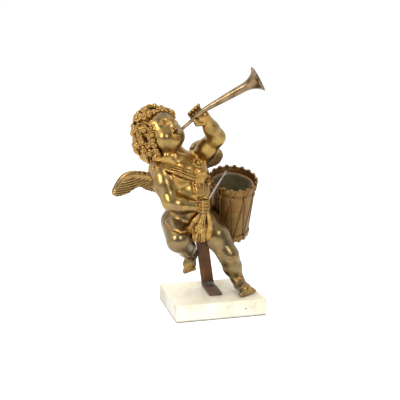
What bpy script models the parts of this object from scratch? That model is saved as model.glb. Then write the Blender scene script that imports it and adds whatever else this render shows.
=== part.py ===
"""A running cupid of cast brass, with a trumpet, a drum and a drumstick, on a marble base.

Metres, +Z up, with the origin at the middle of the marble's underside. The figure is a free form: its pose
is laid out in its front view, as across (to the viewer's right), up (from the marble's top) and near
(towards the viewer), in units of 1/240 of its height, which is about a millimetre. The front view looks
along +Y, turned by VIEW_TURN towards +X. Round masses that melt into each other make the body, as in wax.
"""

import bpy
import bmesh
import numpy as np
from math import ceil, cos, pi, radians, sin
from mathutils import Matrix, Vector

OBJECT_NAME = "brass_cupid_figurine"

# Driving sizes, in metres
FIGURE_HEIGHT = 0.240
FIT_GAP = 0.0003

BASE_WIDTH = 0.114
BASE_DEPTH = 0.098
BASE_THICKNESS = 0.021
BASE_EDGE_ROUND = 0.0016

STRAP_WIDTH = 0.016
STRAP_THICKNESS = 0.0035
STRAP_HEIGHT = 0.070
STRAP_FOOT = 0.049
STRAP_BEND = 0.005
SCREW_DIAMETER = 0.0042
SCREW_LENGTH = 0.014
SCREW_HOLE_SPARE = 0.002
SCREW_MARGIN = 0.0015
SCREW_HEAD_DIAMETER = 0.0075
SCREW_HEAD_HEIGHT = 0.0028
WASHER_DIAMETER = 0.0125
WASHER_THICKNESS = 0.0020
RIVET_DIAMETER = 0.0046
RIVET_HEIGHT = 0.057

DRUM_HEIGHT = 0.081
DRUM_TOP_RADIUS = 0.0298
DRUM_BOTTOM_RADIUS = 0.0278
DRUM_WALL = 0.0040
DRUM_FLOOR = 0.0035
HOOP_HEIGHT = 0.0085
HOOP_PROUD = 0.0014
HOOP_WALL = 0.0030
HOOP_SLOPE = 0.0008
TAB_COUNT = 18
TAB_HEIGHT = 0.0022
TAB_WIDTH = 0.0048
TUG_COUNT = 11
TUG_LENGTH = 0.0065
TUG_WIDTH = 0.0052
ROPE_THICKNESS = 0.0016
ROPE_SPREAD = 0.0040

TUBE_THIN_RADIUS = 0.0021
TUBE_HAND_RADIUS = 0.0033
TUBE_WAIST_RADIUS = 0.0050
BELL_RADIUS = 0.0143
BELL_LENGTH = 0.026
BELL_WALL = 0.0009
BELL_HOLLOW_DEPTH = 0.040
BELL_THROAT_STEP = 0.0006
TUBE_BEND_REACH = 0.007
MOUTHPIECE_RADIUS = 0.0029

STICK_RADIUS = 0.0011
STICK_TIP_RADIUS = 0.0023
STICK_TIP_LENGTH = 0.0075

VIEW_TURN = radians(15)
TUG_TURN = radians(-90)
TUBE_SIDES = 14
UNIT = FIGURE_HEIGHT / 240
VOXEL = 1.05
FIGURE_TRIANGLES = 5300

ACROSS = Vector((cos(VIEW_TURN), -sin(VIEW_TURN), 0))
NEAR = Vector((-sin(VIEW_TURN), -cos(VIEW_TURN), 0))
UP = Vector((0, 0, 1))


def spot(place):
    """A place of the front view, in figure units, as a point in metres."""
    across, up, near = place
    return UNIT * (across * ACROSS + up * UP + near * NEAR) + BASE_THICKNESS * UP


# Landmarks of the pose, in figure units
HEAD = (-62.5, 202.5, 10)
NECK_BASE = (-38, 163, -3)
CHEST = (-34, 146, 2)
BELLY = (-27, 114, 7)
PELVIS = (-27, 91, -2)
SHOULDER_R = (-62, 158, 15)
ELBOW_R = (-48.5, 120, 30)
WRIST_R = (-20, 116.5, 38)
FIST_R = (-10.5, 115.5, 35.5)
SHOULDER_L = (-16.5, 164, -14)
ELBOW_L = (5.5, 196, 8)
WRIST_L = (-7, 218.5, 25)
HAND_L = (-14.5, 223, 29)
HIP_R = (-41, 90, 6)
KNEE_R = (-40.5, 74, 34)
CALF_R = (-31, 58, 8)
ANKLE_R = (-25.5, 45.5, -14)
TOES_R = (-28, 26, -15)
HIP_L = (-8, 88, -10)
THIGH_L = (6, 72, 0)
KNEE_L = (21.5, 48.5, 6)
CALF_L = (27, 32, 2)
ANKLE_L = (33.5, 16, 1)
BALL_L = (44, 6.5, 18)
MOUTH = (-38.5, 204.5, 31)
TUBE_BEND = (-10.5, 229.5, 38)
BELL_END = (52.5, 265, 48)
DRUM_TOP = (28.5, 140.5, -24)
DRUM_BOTTOM = (21.5, 67.5, -57.5)
STICK_BUTT = (-15, 106, 37)
STICK_TIP = (18, 158.5, 29)
NAPE = ((-93, 186, -2), (-86, 178, -4), (-76, 175, -8), (-80, 173, 3), (-69, 174, -14))
WING_R_EDGE = (
    (-50, 145, -11), (-74, 146.3, -9), (-95, 148.6, -9), (-107, 146, -8), (-115, 138, -7), (-120.5, 128, -6),
)
WING_R_HEM = (
    (-118.5, 123.5, -5), (-108, 125, -5), (-98, 131, -6), (-88, 135.5, -8), (-80, 130.5, -8), (-64, 125, -9),
)
WING_L_EDGE = (
    (-26, 158, -26), (-22, 179, -38), (-12, 184, -46), (-4, 182.5, -51), (5, 177.5, -57), (12, 170, -62),
)
WING_L_HEM = (
    (13.5, 164, -63), (10, 158, -58), (3, 155, -52), (-5, 153, -45), (-13, 150, -36), (-20, 148, -28),
)
WING_EDGE_RADII = (5.0, 4.2, 4.0, 3.8, 3.4, 2.8)
FEATHERS = 10
COLLAR_TOP = ((-67, 170), (-56, 172.5), (-46, 171), (-35, 168), (-25, 162))
COLLAR_HEM = ((-64.5, 163), (-53.5, 159), (-42, 155), (-31, 150.5), (-20, 145))
FALL_LEFT = ((-20.5, 160), (-19.5, 150), (-18.5, 141), (-16.5, 130))
FALL_RIGHT = ((-10, 160), (-6, 151), (-4.5, 143), (-5.5, 130))
BROOCH = (-17, 165.5)
LOIN_LEFT = ((-15, 108, 34), (-23, 92, 32), (-24.5, 74, 26))
LOIN_RIGHT = ((-3, 106, 31), (-2, 89, 26), (-3.5, 70, 18))
ROSETTE = (-14, 89, 31)
STRAP_FOOT_BACK = (-4.5, 0, -27)
STRAP_FOOT_FRONT = (5.5, 0, 20.5)
STRAP_TOP = (-12, 58, -18)


def vec(values):
    return np.array(values, float)


def unit(values):
    return vec(values) / np.linalg.norm(values)


def frame_of(side, up):
    """Axes (side, up, front) as rows, from a side direction and an up direction that may need squaring."""
    side = unit(side)
    up = unit(vec(up) - side * (vec(up) @ side))
    return np.array([side, up, np.cross(side, up)])


TORSO_AXES = frame_of((0.82, 0.06, -0.57), (-0.11, 1, -0.03))
HEAD_AXES = frame_of((0.68, 0.12, -0.72), (-0.42, 0.87, -0.25))
UPRIGHT = np.identity(3)


def on_head(front, up, side):
    """A place measured from the middle of the skull along its own front, up and left directions."""
    return vec(HEAD) + HEAD_AXES.T @ vec((side, up, front))


class Egg:
    """An ellipsoid, whose radii are along the side, up and front of its axes."""

    def __init__(self, centre, radii, axes=UPRIGHT, melt=5.0):
        self.centre = vec(centre)
        self.radii = vec(radii) * np.ones(3)
        self.axes = axes
        self.melt = melt

    def distance(self, points):
        local = (points - self.centre) @ self.axes.T
        near = np.linalg.norm(local / self.radii, axis=1)
        steep = np.linalg.norm(local / self.radii**2, axis=1)
        return near * (near - 1) / np.maximum(steep, 1e-9)

    def rough(self):
        turn = Matrix(self.axes.T.tolist()).to_4x4()
        return [Matrix.Translation(self.centre) @ turn @ Matrix.Diagonal((*self.radii, 1))]


class Limb:
    """A tapering round limb through two or more places, each given as (place, radius)."""

    def __init__(self, *stops, melt=5.0):
        self.places = [vec(place) for place, _ in stops]
        self.radii = [radius for _, radius in stops]
        self.melt = melt

    def distance(self, points):
        nearest = np.full(len(points), np.inf)
        for a, b, ra, rb in zip(self.places, self.places[1:], self.radii, self.radii[1:]):
            along = b - a
            share = np.clip((points - a) @ along / (along @ along), 0, 1)
            gap = np.linalg.norm(points - a - share[:, None] * along, axis=1)
            nearest = smooth_union(nearest, gap - ra - share * (rb - ra), min(ra, rb) * 0.6)
        return nearest

    def rough(self):
        balls = []
        for a, b, ra, rb in zip(self.places, self.places[1:], self.radii, self.radii[1:]):
            count = max(2, ceil(np.linalg.norm(b - a) / (0.55 * min(ra, rb))))
            for step in range(count + 1):
                share = step / count
                radius = ra + share * (rb - ra)
                balls.append(Matrix.Translation(a + share * (b - a)) @ Matrix.Scale(radius, 4))
        return balls


def smooth_union(a, b, melt):
    overlap = np.clip(1 - np.abs(a - b) / melt, 0, None)
    overlap = np.where(np.isfinite(overlap), overlap, 0)
    return np.minimum(a, b) - overlap**2 * melt / 4


def smooth_cut(a, b, melt):
    return -smooth_union(-a, b, melt)


class Form:
    """Masses that melt together, less the hollows pressed into them; it can be a mass of a larger form."""

    def __init__(self, masses, hollows=(), melt=3.0):
        self.masses = masses
        self.hollows = hollows
        self.melt = melt

    def distance(self, points):
        total = np.full(len(points), 1e3)
        for mass in self.masses:
            total = smooth_union(total, mass.distance(points), mass.melt)
        for hollow in self.hollows:
            total = smooth_cut(total, hollow.distance(points), hollow.melt)
        return total

    def rough(self):
        return [matrix for mass in self.masses for matrix in mass.rough()]


def front_of(form, across, up, lift=0.0):
    """The place where the form's front surface is met, looking straight at the front view."""
    near = np.linspace(80, -60, 561)
    line = np.column_stack([np.full_like(near, across), np.full_like(near, up), near])
    inside = np.nonzero(form.distance(line) < 0)[0]
    found = near[inside[0]] if len(inside) else 0.0
    return np.array([across, up, found + lift])


def breast(side):
    """The middle of one breast: side is 1 for the figure's left."""
    return vec(CHEST) + TORSO_AXES.T @ vec((13 * side, 6, 15))


def torso():
    return Form([
        Egg(CHEST, (31, 26, 22), TORSO_AXES),
        Egg(BELLY, (28, 27, 25), TORSO_AXES, melt=9),
        Egg(PELVIS, (31, 20, 23), TORSO_AXES, melt=9),
        Limb((NECK_BASE, 17), (on_head(-4, -16, 0), 14), melt=8),
        Limb((SHOULDER_R, 13), (SHOULDER_L, 12.5), melt=8),
        Egg(breast(1), (11, 9, 8), TORSO_AXES, melt=8),
        Egg(breast(-1), (11, 9, 8), TORSO_AXES, melt=8),
        Egg((-37, 84, -17), 18, melt=7),
        Egg((-9, 87, -20), 19.5, melt=7),
    ])


def toe_row(roots, tips, radii):
    """Five toes between the first and the last of two pairs of places, the big toe first."""
    row = []
    for index in range(5):
        share = index / 4
        root = vec(roots[0]) + share * (vec(roots[1]) - vec(roots[0]))
        tip = vec(tips[0]) + share * (vec(tips[1]) - vec(tips[0]))
        thick = radii[0] + share * (radii[1] - radii[0])
        row.append(Limb((root, thick), (tip, thick), melt=1.2))
    return row


def legs():
    left_toes = toe_row([(41, 7.5, 16), (48, 7, 10)], [(37.5, 4.2, 24.5), (53, 4.6, 13)], (3.5, 2.2))
    right_toes = toe_row([(-30, 30, -14), (-25, 30, -16)], [(-32, 22.5, -12), (-22.5, 25, -16)], (3.0, 2.0))
    return Form([
        Limb((HIP_R, 22), (KNEE_R, 14.5)),
        Limb(((-39.5, 71, 32), 12.5), (CALF_R, 11.5), (ANKLE_R, 7.5), melt=4),
        Limb((ANKLE_R, 7.3), ((-27, 34, -16), 6.8), (TOES_R, 5.2)),
        Egg((-24, 44, -20), (6.5, 6.5, 7)),
        Limb((HIP_L, 19.5), (THIGH_L, 15.5), (KNEE_L, 12.4)),
        Limb((KNEE_L, 12.2), (CALF_L, 11.6), (ANKLE_L, 7.6), melt=6),
        Limb((ANKLE_L, 7.6), ((40, 8.5, 12), 7), melt=4),
        Egg((35, 7, -5), 6.5),
        Egg(BALL_L, (10, 6, 8), frame_of((0.8, 0.1, -0.6), (0, 1, 0))),
        *left_toes,
        *right_toes,
    ])


def arms():
    return Form([
        Limb((SHOULDER_R, 14), ((-57, 140, 22), 12.6), (ELBOW_R, 10.6)),
        Limb((ELBOW_R, 10.4), ((-36, 117.5, 34), 9.2), (WRIST_R, 6.8)),
        Egg(FIST_R, (6.5, 8.2, 6.2), melt=3),
        *fist_fingers(),
        Limb((SHOULDER_L, 12.8), ((-5, 181, -3), 12.2), (ELBOW_L, 11)),
        Limb((ELBOW_L, 10.8), ((-0.5, 207, 17), 9.4), (WRIST_L, 7.2)),
        Egg(HAND_L, (8.5, 7, 5.5), frame_of((0.75, 0.62, 0.2), (-0.6, 0.75, 0)), melt=4),
        *horn_fingers(),
    ])


def fist_fingers():
    """Four stacked fingers and a thumb, closed round the stick."""
    row = []
    for index in range(4):
        up = 122.3 - 3.5 * index
        knuckle = ((-16.5, up, 38.5), 2.2)
        middle = ((-10.5, up - 0.2, 43.6), 2.1)
        tip = ((-4.5, up - 0.4, 41), 2.0)
        row.append(Limb(knuckle, middle, tip, melt=0.8))
    row.append(Limb(((-14, 123.5, 33), 2.6), ((-8, 126.5, 37), 2.3), melt=1.5))
    return row


def horn_fingers():
    """Four fingers that pass behind the trumpet and hook over it, and the thumb below."""
    row = []
    along = unit(vec(TUBE_BEND) - vec(MOUTH))
    for index in range(4):
        root = vec((-21, 217.5, 28)) + along * (4.1 * index)
        top = vec((-26, 225, 30.5)) + along * (4.4 * index)
        tip = vec((-25.5, 227, 34.5)) + along * (4.4 * index)
        row.append(Limb((root, 2.6), (top, 2.3), (tip, 2.0), melt=1.0))
    row.append(Limb(((-12, 214.5, 31), 3.2), ((-17.5, 214.5, 36.5), 2.6), ((-19, 218, 40), 2.1), melt=1.5))
    return row


def head():
    skull = [
        Egg(on_head(-2, 3, 0), (22.5, 25, 25), HEAD_AXES),
        Egg(on_head(7, -9, 0), (17.5, 18.5, 17), HEAD_AXES, melt=8),
        Egg(on_head(6, -22, 0), (13, 8, 12), HEAD_AXES, melt=6),
        Egg(on_head(18.5, -20, 0), (5.5, 5.5, 5), HEAD_AXES, melt=5),
        Limb((on_head(21, 5, 0), 2.4), (on_head(26.6, -5, 0), 2.8), melt=4),
        Limb((on_head(19.5, 10.5, -9), 3), (on_head(21.5, 10.5, 0), 3), (on_head(19.5, 10.5, 9), 3)),
    ]
    hollows = [Egg(on_head(30.5, -12.5, 0.5), 3.4, melt=2)]
    eyes = []
    for side in (-1, 1):
        skull.append(Egg(on_head(12, -12.5, 10 * side), (9.5, 11, 11), HEAD_AXES))
        skull.append(Egg(on_head(24.2, -6.2, 2.9 * side), 1.9, melt=2))
        skull += [lip(side, -8.8, 2.1), lip(side, -17.2, 2.2)]
        skull.append(Egg(on_head(4, -2, 22 * side), (2.6, 6, 3.5), HEAD_AXES, melt=2))
        hollows.append(Egg(on_head(24.5, 4.6, 8.4 * side), (5.6, 3.6, 5), HEAD_AXES))
        eyes.append(Egg(on_head(18.6, 5, 8.4 * side), 4.7, melt=1))
    return Form([Form(skull, hollows), *eyes])


def lip(side, up, radius):
    """Half of the upper or the lower lip, pursed round the mouthpiece."""
    middle = (on_head(25.8, up, 0.5), radius)
    corner = (on_head(24.3, (up - 13) / 2, 5 * side), radius * 0.8)
    return Limb(middle, (on_head(25.4, up * 0.9 - 1.3, 3 * side), radius), corner, melt=2.5)


def hair():
    """Curls in rows round the skull, leaving the face free, and longer locks at the nape."""
    curls = [Egg(on_head(-5, 5, 0), (25, 26, 25), HEAD_AXES, melt=3)]
    for row in range(6):
        height = radians(80 - 29 * row)
        count = max(4, round(15 * cos(height)))
        for step in range(count):
            turn = 2 * pi * (step + 0.5 * (row % 2)) / count
            front = cos(height) * cos(turn)
            up = sin(height)
            side = cos(height) * sin(turn)
            if front > 0.2 and up < 0.7:
                continue
            curls.append(Egg(on_head(-5 + 28.5 * front, 4 + 28.5 * up, 26 * side), 6.8, melt=1.4))
    for step in range(5):
        side = 9.5 * (step - 2)
        curls.append(Egg(on_head(15 - 0.012 * side**2, 21 - 0.010 * side**2, side), 6.4, melt=1.4))
    for side in (-1, 1):
        for step in range(4):
            curls.append(Egg(on_head(9 - 2.5 * step, 12 - 8.5 * step, 23.5 * side), 5.2, melt=1.2))
    for place in NAPE:
        bend = vec(place) + vec((1, -7, 2))
        hook = bend + vec((2.5, -4, 0.5))
        curls.append(Limb((place, 5.2), (bend, 3.8), (hook, 2.4), melt=1.4))
    return Form(curls, melt=1.5)


def along_line(places, share):
    """The place at a share, 0 to 1, of the way along a line of places."""
    at = share * (len(places) - 1)
    first = min(int(at), len(places) - 2)
    start = vec(places[first])
    return start + (vec(places[first + 1]) - start) * (at - first)


def wing(edge, hem, facing):
    """A wing: a rounded leading edge and overlapping feathers that run from it to the trailing hem."""
    masses = [Limb(*zip(edge, WING_EDGE_RADII), melt=1.5)]
    for index in range(FEATHERS):
        share = index / (FEATHERS - 1)
        start = along_line(edge, 0.95 - 0.9 * share)
        end = along_line(hem, share)
        along = end - start
        axes = frame_of(along, np.cross(facing, along))
        half = np.linalg.norm(along) / 2
        masses.append(Egg((start + end) / 2, (half + 2.5, 5.4, 2.1), axes, melt=0.6))
    return Form(masses)


def wings():
    right = wing(WING_R_EDGE, WING_R_HEM, unit((0.1, 0.3, 1)))
    left = wing(WING_L_EDGE, WING_L_HEM, unit((0.7, 0.1, 0.7)))
    return Form([right, left], melt=2.5)


def pleats(body, first, last, folds, radius, lift):
    """Folds of cloth laid on the body's front, spread between a first and a last line of (across, up)."""
    masses = []
    for fold in range(folds):
        share = fold / (folds - 1)
        stops = []
        for a, b in zip(first, last):
            across, up = vec(a) + share * (vec(b) - vec(a))
            stops.append((front_of(body, across, up, lift), radius))
        masses.append(Limb(*stops, melt=0.6))
    return masses


def sash(body):
    """The cloth over the right shoulder, pinned by a brooch at the left breast, and its fall to the fist."""
    masses = pleats(body, COLLAR_TOP, COLLAR_HEM, 4, 2.5, 1.3)
    masses += pleats(body, FALL_LEFT, FALL_RIGHT, 3, 2.6, 1.0)
    for fold in range(4):
        up = 146 - 4.5 * fold
        left = front_of(body, -19, up, 1.2)
        right = front_of(body, -5, up + 1.5, 1.2)
        middle = (left + right) / 2 + vec((0, -1, 1.6))
        masses.append(Limb((left, 2.2), (middle, 2.9), (right, 2.2), melt=1.0))
    brooch = front_of(body, *BROOCH, 2.0)
    masses.append(Egg(brooch, (5.7, 5.7, 2.8), TORSO_AXES, melt=0.8))
    masses.append(Egg(brooch + vec((0.5, 0, 1.9)), 2.4, melt=0.8))
    return Form(masses, melt=0.8)


def loincloth():
    """Folds that fall from the fist between the thighs, with a knotted rosette on them."""
    masses = [Egg((-13, 86, 19), (11, 17, 8), melt=2)]
    for fold in range(6):
        share = fold / 5
        places = [along_line([left, right], share) for left, right in zip(LOIN_LEFT, LOIN_RIGHT)]
        ruffle = 2.0 * cos(pi * fold)
        places[-1] = places[-1] + vec((0, 0.6 * ruffle, ruffle))
        masses.append(Limb(*zip(places, (2.3, 2.8, 3.1)), melt=1.2))
    masses.append(Egg(ROSETTE, (6.6, 6.6, 4.2), melt=0.8))
    return Form(masses, melt=1.0)


def figure_form():
    body = Form([torso(), legs(), head()])
    limbs = Form([body, arms()], melt=2)
    return Form([limbs, hair(), wings(), sash(body), loincloth()])


def material(name, colour, roughness, metallic):
    made = bpy.data.materials.new(name)
    made.use_nodes = True
    shader = made.node_tree.nodes["Principled BSDF"]
    shader.inputs["Base Color"].default_value = (*colour, 1)
    shader.inputs["Roughness"].default_value = roughness
    shader.inputs["Metallic"].default_value = metallic
    made.diffuse_color = (*colour, 1)
    return made


def keep(name, mesh, finish, smooth=True):
    """Makes a named sub-part of a mesh, in the object's own collection."""
    made = bpy.data.objects.new(name, mesh)
    PARTS.objects.link(made)
    mesh.materials.clear()
    mesh.materials.append(finish)
    if smooth:
        mesh.shade_smooth()
    return made


def as_cutter(made):
    for owner in list(made.users_collection):
        owner.objects.unlink(made)
    CUTTERS.objects.link(made)
    made.hide_render = True
    made.display_type = "WIRE"
    return made


def mesh_from(bm, name):
    mesh = bpy.data.meshes.new(name)
    bm.to_mesh(mesh)
    bm.free()
    return mesh


def solid_mesh(made, name):
    """The evaluated object as a mesh of its own, in world space, with loose caps welded."""
    bpy.context.view_layer.update()
    graph = bpy.context.evaluated_depsgraph_get()
    mesh = bpy.data.meshes.new_from_object(made.evaluated_get(graph))
    mesh.transform(made.matrix_world)
    bm = bmesh.new()
    bm.from_mesh(mesh)
    bmesh.ops.remove_doubles(bm, verts=bm.verts, dist=1e-6)
    bm.to_mesh(mesh)
    bm.free()
    mesh.name = name
    bpy.data.objects.remove(made)
    return mesh


def boolean(made, other, operation, crossing=False):
    """Cuts or joins; crossing says that the other's own shapes run through each other."""
    change = made.modifiers.new(f"{operation.lower()}_{other.name}", "BOOLEAN")
    change.use_self = crossing
    change.operation = operation
    change.object = other
    change.solver = "EXACT"


def turned(name, profile, steps, place=Matrix.Identity(4)):
    """A turned solid: the profile runs down its outer side, at +X, and is closed on the axis."""
    bm = bmesh.new()
    rim = [bm.verts.new((radius, 0, height)) for radius, height in profile]
    for a, b in zip(rim, rim[1:]):
        bm.edges.new((a, b))
    made = bpy.data.objects.new(name, mesh_from(bm, name))
    PARTS.objects.link(made)
    screw = made.modifiers.new("turn", "SCREW")
    screw.steps = screw.render_steps = steps
    screw.use_merge_vertices = True
    screw.merge_threshold = 1e-6
    made.matrix_world = place
    return made


def stand(bottom, top):
    """A matrix that stands a shape built up +Z on bottom, leaning towards top."""
    axis = (top - bottom).normalized()
    side = axis.cross(NEAR).normalized()
    front = side.cross(axis)
    turn = Matrix((side, -front, axis)).transposed()
    return Matrix.Translation(bottom) @ turn.to_4x4()


def figure():
    form = figure_form()
    ball = bmesh.new()
    bmesh.ops.create_uvsphere(ball, u_segments=14, v_segments=9, radius=1)
    ball = mesh_from(ball, "ball")
    bm = bmesh.new()
    for matrix in form.rough():
        lump = ball.copy()
        lump.transform(matrix)
        bm.from_mesh(lump)
        bpy.data.meshes.remove(lump)
    bpy.data.meshes.remove(ball)
    rough = bpy.data.objects.new("wax", mesh_from(bm, "wax"))
    PARTS.objects.link(rough)
    remesh = rough.modifiers.new("skin", "REMESH")
    remesh.mode = "VOXEL"
    remesh.voxel_size = VOXEL
    mesh = solid_mesh(rough, "cupid_figure")
    points = np.empty(len(mesh.vertices) * 3)
    mesh.vertices.foreach_get("co", points)
    points = settle(form, points.reshape(-1, 3))
    points[:, 1] = np.maximum(points[:, 1], FIT_GAP / UNIT)
    world = np.array([ACROSS, UP, NEAR]).T * UNIT
    points = points @ world.T + vec(spot((0, 0, 0)))
    mesh.vertices.foreach_set("co", points.ravel())
    mesh.update()
    made = keep("cupid_figure", mesh, BRASS)
    thin = made.modifiers.new("thin", "DECIMATE")
    thin.ratio = min(1, FIGURE_TRIANGLES / (2 * len(mesh.polygons)))
    thin.use_collapse_triangulate = True
    return made


def settle(form, points, rounds=3, step=0.02):
    """Moves the points onto the form's surface, each along the slope of the distance."""
    for _ in range(rounds):
        here = form.distance(points)
        slope = np.empty_like(points)
        for axis in range(3):
            ahead = points.copy()
            ahead[:, axis] += step
            slope[:, axis] = (form.distance(ahead) - here) / step
        steep = np.maximum((slope**2).sum(axis=1), 0.25)
        move = np.clip(here, -1.0, 1.0) / steep
        points = points - slope * move[:, None]
    return points


def marble_base():
    bm = bmesh.new()
    size = Matrix.Diagonal((BASE_WIDTH, BASE_DEPTH, BASE_THICKNESS, 1))
    lift = Matrix.Translation((0, 0, BASE_THICKNESS / 2))
    bmesh.ops.create_cube(bm, size=1, matrix=lift @ size)
    upper = [edge for edge in bm.edges if max(v.co.z for v in edge.verts) > BASE_THICKNESS / 2]
    bmesh.ops.bevel(
        bm, geom=upper, offset=BASE_EDGE_ROUND, segments=2, profile=0.5, affect="EDGES", material=-1
    )
    return keep("marble_base", mesh_from(bm, "marble_base"), MARBLE, smooth=False)


def strap_place():
    """The bracket's own frame: X along its width, Y towards the back of its foot, Z up, at the bend's corner."""
    back = spot(STRAP_FOOT_BACK)
    front = spot(STRAP_FOOT_FRONT)
    toward = (front - back).normalized()
    side = toward.cross(UP).normalized()
    turn = Matrix((-side, -toward, UP)).transposed()
    return Matrix.Translation(back + FIT_GAP * UP) @ turn.to_4x4()


def strap_lean():
    """The shear that leans the strap from its foot's corner towards its top."""
    local = strap_place().to_3x3().inverted() @ (spot(STRAP_TOP) - spot(STRAP_FOOT_BACK))
    shear = Matrix.Identity(4)
    shear[0][2] = local.x / local.z
    shear[1][2] = local.y / local.z
    return shear


def support_bracket():
    """A flat bar bent to an L, drawn as its side outline and extruded across its width."""
    outer = [(-STRAP_FOOT, 0)]
    inner = [(-STRAP_FOOT, STRAP_THICKNESS)]
    tight = STRAP_BEND - STRAP_THICKNESS
    for step in range(5):
        turn = radians(90) * step / 4
        outer.append((STRAP_BEND * (sin(turn) - 1), STRAP_BEND * (1 - cos(turn))))
        inner.append((tight * sin(turn) - STRAP_BEND, STRAP_BEND - tight * cos(turn)))
    outer.append((0, STRAP_HEIGHT))
    inner.append((-STRAP_THICKNESS, STRAP_HEIGHT))
    curve = bpy.data.curves.new("support_bracket", "CURVE")
    curve.dimensions = "2D"
    curve.fill_mode = "BOTH"
    curve.extrude = STRAP_WIDTH / 2
    outline = outer + inner[::-1]
    line = curve.splines.new("POLY")
    line.points.add(len(outline) - 1)
    for point, (back, up) in zip(line.points, outline):
        point.co = (back, up, 0, 1)
    line.use_cyclic_u = True
    bar = bpy.data.objects.new("support_bracket", curve)
    PARTS.objects.link(bar)
    mesh = solid_mesh(bar, "support_bracket")
    stand_up = Matrix(((0, 0, 1), (1, 0, 0), (0, 1, 0))).to_4x4()
    lean = strap_lean()
    mesh.transform(stand_up)
    for vertex in mesh.vertices:
        rise = max(vertex.co.z - STRAP_BEND, 0)
        vertex.co.x += lean[0][2] * rise
        vertex.co.y += lean[1][2] * rise
    mesh.transform(strap_place())
    return keep("support_bracket", mesh, RUST, smooth=False)


def bracket_rivet():
    """A small domed rivet on the strap's face, close under the casting."""
    place = strap_place() @ Matrix.Translation((0, -STRAP_THICKNESS - FIT_GAP, 0))
    rise = RIVET_HEIGHT - STRAP_BEND
    lean = strap_lean()
    foot = place @ Vector((lean[0][2] * rise, lean[1][2] * rise, RIVET_HEIGHT))
    across = strap_place().to_3x3() @ Vector((1, 0, 0))
    up = (strap_place().to_3x3() @ Vector((lean[0][2], lean[1][2], 1))).normalized()
    out = across.cross(up).normalized()
    radius = RIVET_DIAMETER / 2
    profile = [(0, radius * 0.6), (radius * 0.6, radius * 0.48), (radius, 0), (0, 0)]
    turn = Vector((0, 0, 1)).rotation_difference(out).to_matrix().to_4x4()
    rivet = turned("bracket_rivet", profile, 12, Matrix.Translation(foot) @ turn)
    return keep("bracket_rivet", solid_mesh(rivet, "bracket_rivet"), STEEL, smooth=False)


def screw_spot():
    """Where the screw stands on the bracket's foot, at the foot's top."""
    place = strap_place()
    return place @ Vector((0, -STRAP_BEND - WASHER_DIAMETER / 2 - SCREW_MARGIN, STRAP_THICKNESS))


def bracket_screw():
    """A dome-headed screw, with its washer, that runs through the bracket's foot into the marble."""
    foot = screw_spot() + FIT_GAP * UP
    profile = []
    for degrees in range(0, 91, 30):
        turn = radians(degrees)
        height = WASHER_THICKNESS + SCREW_HEAD_HEIGHT * cos(turn)
        profile.append((SCREW_HEAD_DIAMETER / 2 * sin(turn), height))
    profile += [
        (WASHER_DIAMETER / 2, WASHER_THICKNESS),
        (WASHER_DIAMETER / 2, 0),
        (SCREW_DIAMETER / 2, 0),
        (SCREW_DIAMETER / 2, -SCREW_LENGTH),
        (0, -SCREW_LENGTH),
    ]
    screw = turned("bracket_screw", profile, 12, Matrix.Translation(foot))
    return keep("bracket_screw", solid_mesh(screw, "bracket_screw"), STEEL, smooth=False)


def screw_hole():
    """The screw's hole, a gap wider than its shank and a little deeper than its tip."""
    bm = bmesh.new()
    depth = SCREW_LENGTH + 2 * SCREW_HOLE_SPARE
    place = Matrix.Translation(screw_spot() + UP * (SCREW_HOLE_SPARE - depth / 2))
    radius = SCREW_DIAMETER / 2 + FIT_GAP
    bmesh.ops.create_cone(
        bm, segments=12, radius1=radius, radius2=radius, depth=depth, cap_ends=True, matrix=place
    )
    return room("screw_hole", mesh_from(bm, "screw_hole"))


def tube_path():
    """Places along the trumpet with its outer radius at each: straight, a short bend at the hand, straight."""
    mouth = spot(MOUTH)
    bend = spot(TUBE_BEND)
    end = spot(BELL_END)
    before = bend - (bend - mouth).normalized() * TUBE_BEND_REACH
    out = (end - bend).normalized()
    after = bend + out * TUBE_BEND_REACH
    throat = end - out * BELL_LENGTH
    thin = TUBE_THIN_RADIUS * 1.15
    path = [(mouth, TUBE_THIN_RADIUS), (before, thin)]
    for step in range(1, 4):
        share = step / 4
        place = (1 - share) ** 2 * before + 2 * share * (1 - share) * bend + share**2 * after
        path.append((place, thin + (TUBE_HAND_RADIUS - thin) * share))
    path.append((after, TUBE_HAND_RADIUS))
    path.append(((after + throat) / 2, (TUBE_HAND_RADIUS + TUBE_WAIST_RADIUS) / 2))
    path.append((throat, TUBE_WAIST_RADIUS))
    for step in range(1, 8):
        share = step / 7
        path.append((throat + out * BELL_LENGTH * share, bell_radius(share)))
    return path


def bell_radius(share):
    """The bell's outer radius, from its throat to its lip."""
    return TUBE_WAIST_RADIUS + (BELL_RADIUS - TUBE_WAIST_RADIUS) * share**3.2


def tube_mesh(name, path, grow=0.0):
    """A round tube through places with their radii; grow makes it that much larger all round."""
    first, last = path[0][0], path[-1][0]
    tail = (first - path[1][0]).normalized() * grow
    head = (last - path[-2][0]).normalized() * grow
    path = [(first + tail, path[0][1]), *path[1:-1], (last + head, path[-1][1])]
    curve = bpy.data.curves.new(name, "CURVE")
    curve.dimensions = "3D"
    curve.bevel_depth = 1.0
    curve.bevel_resolution = TUBE_SIDES // 2 - 2
    curve.use_fill_caps = True
    line = curve.splines.new("POLY")
    line.points.add(len(path) - 1)
    for point, (place, radius) in zip(line.points, path):
        point.co = (*place, 1)
        point.radius = radius + grow
    tube = bpy.data.objects.new(name, curve)
    PARTS.objects.link(tube)
    return solid_mesh(tube, name)


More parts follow.
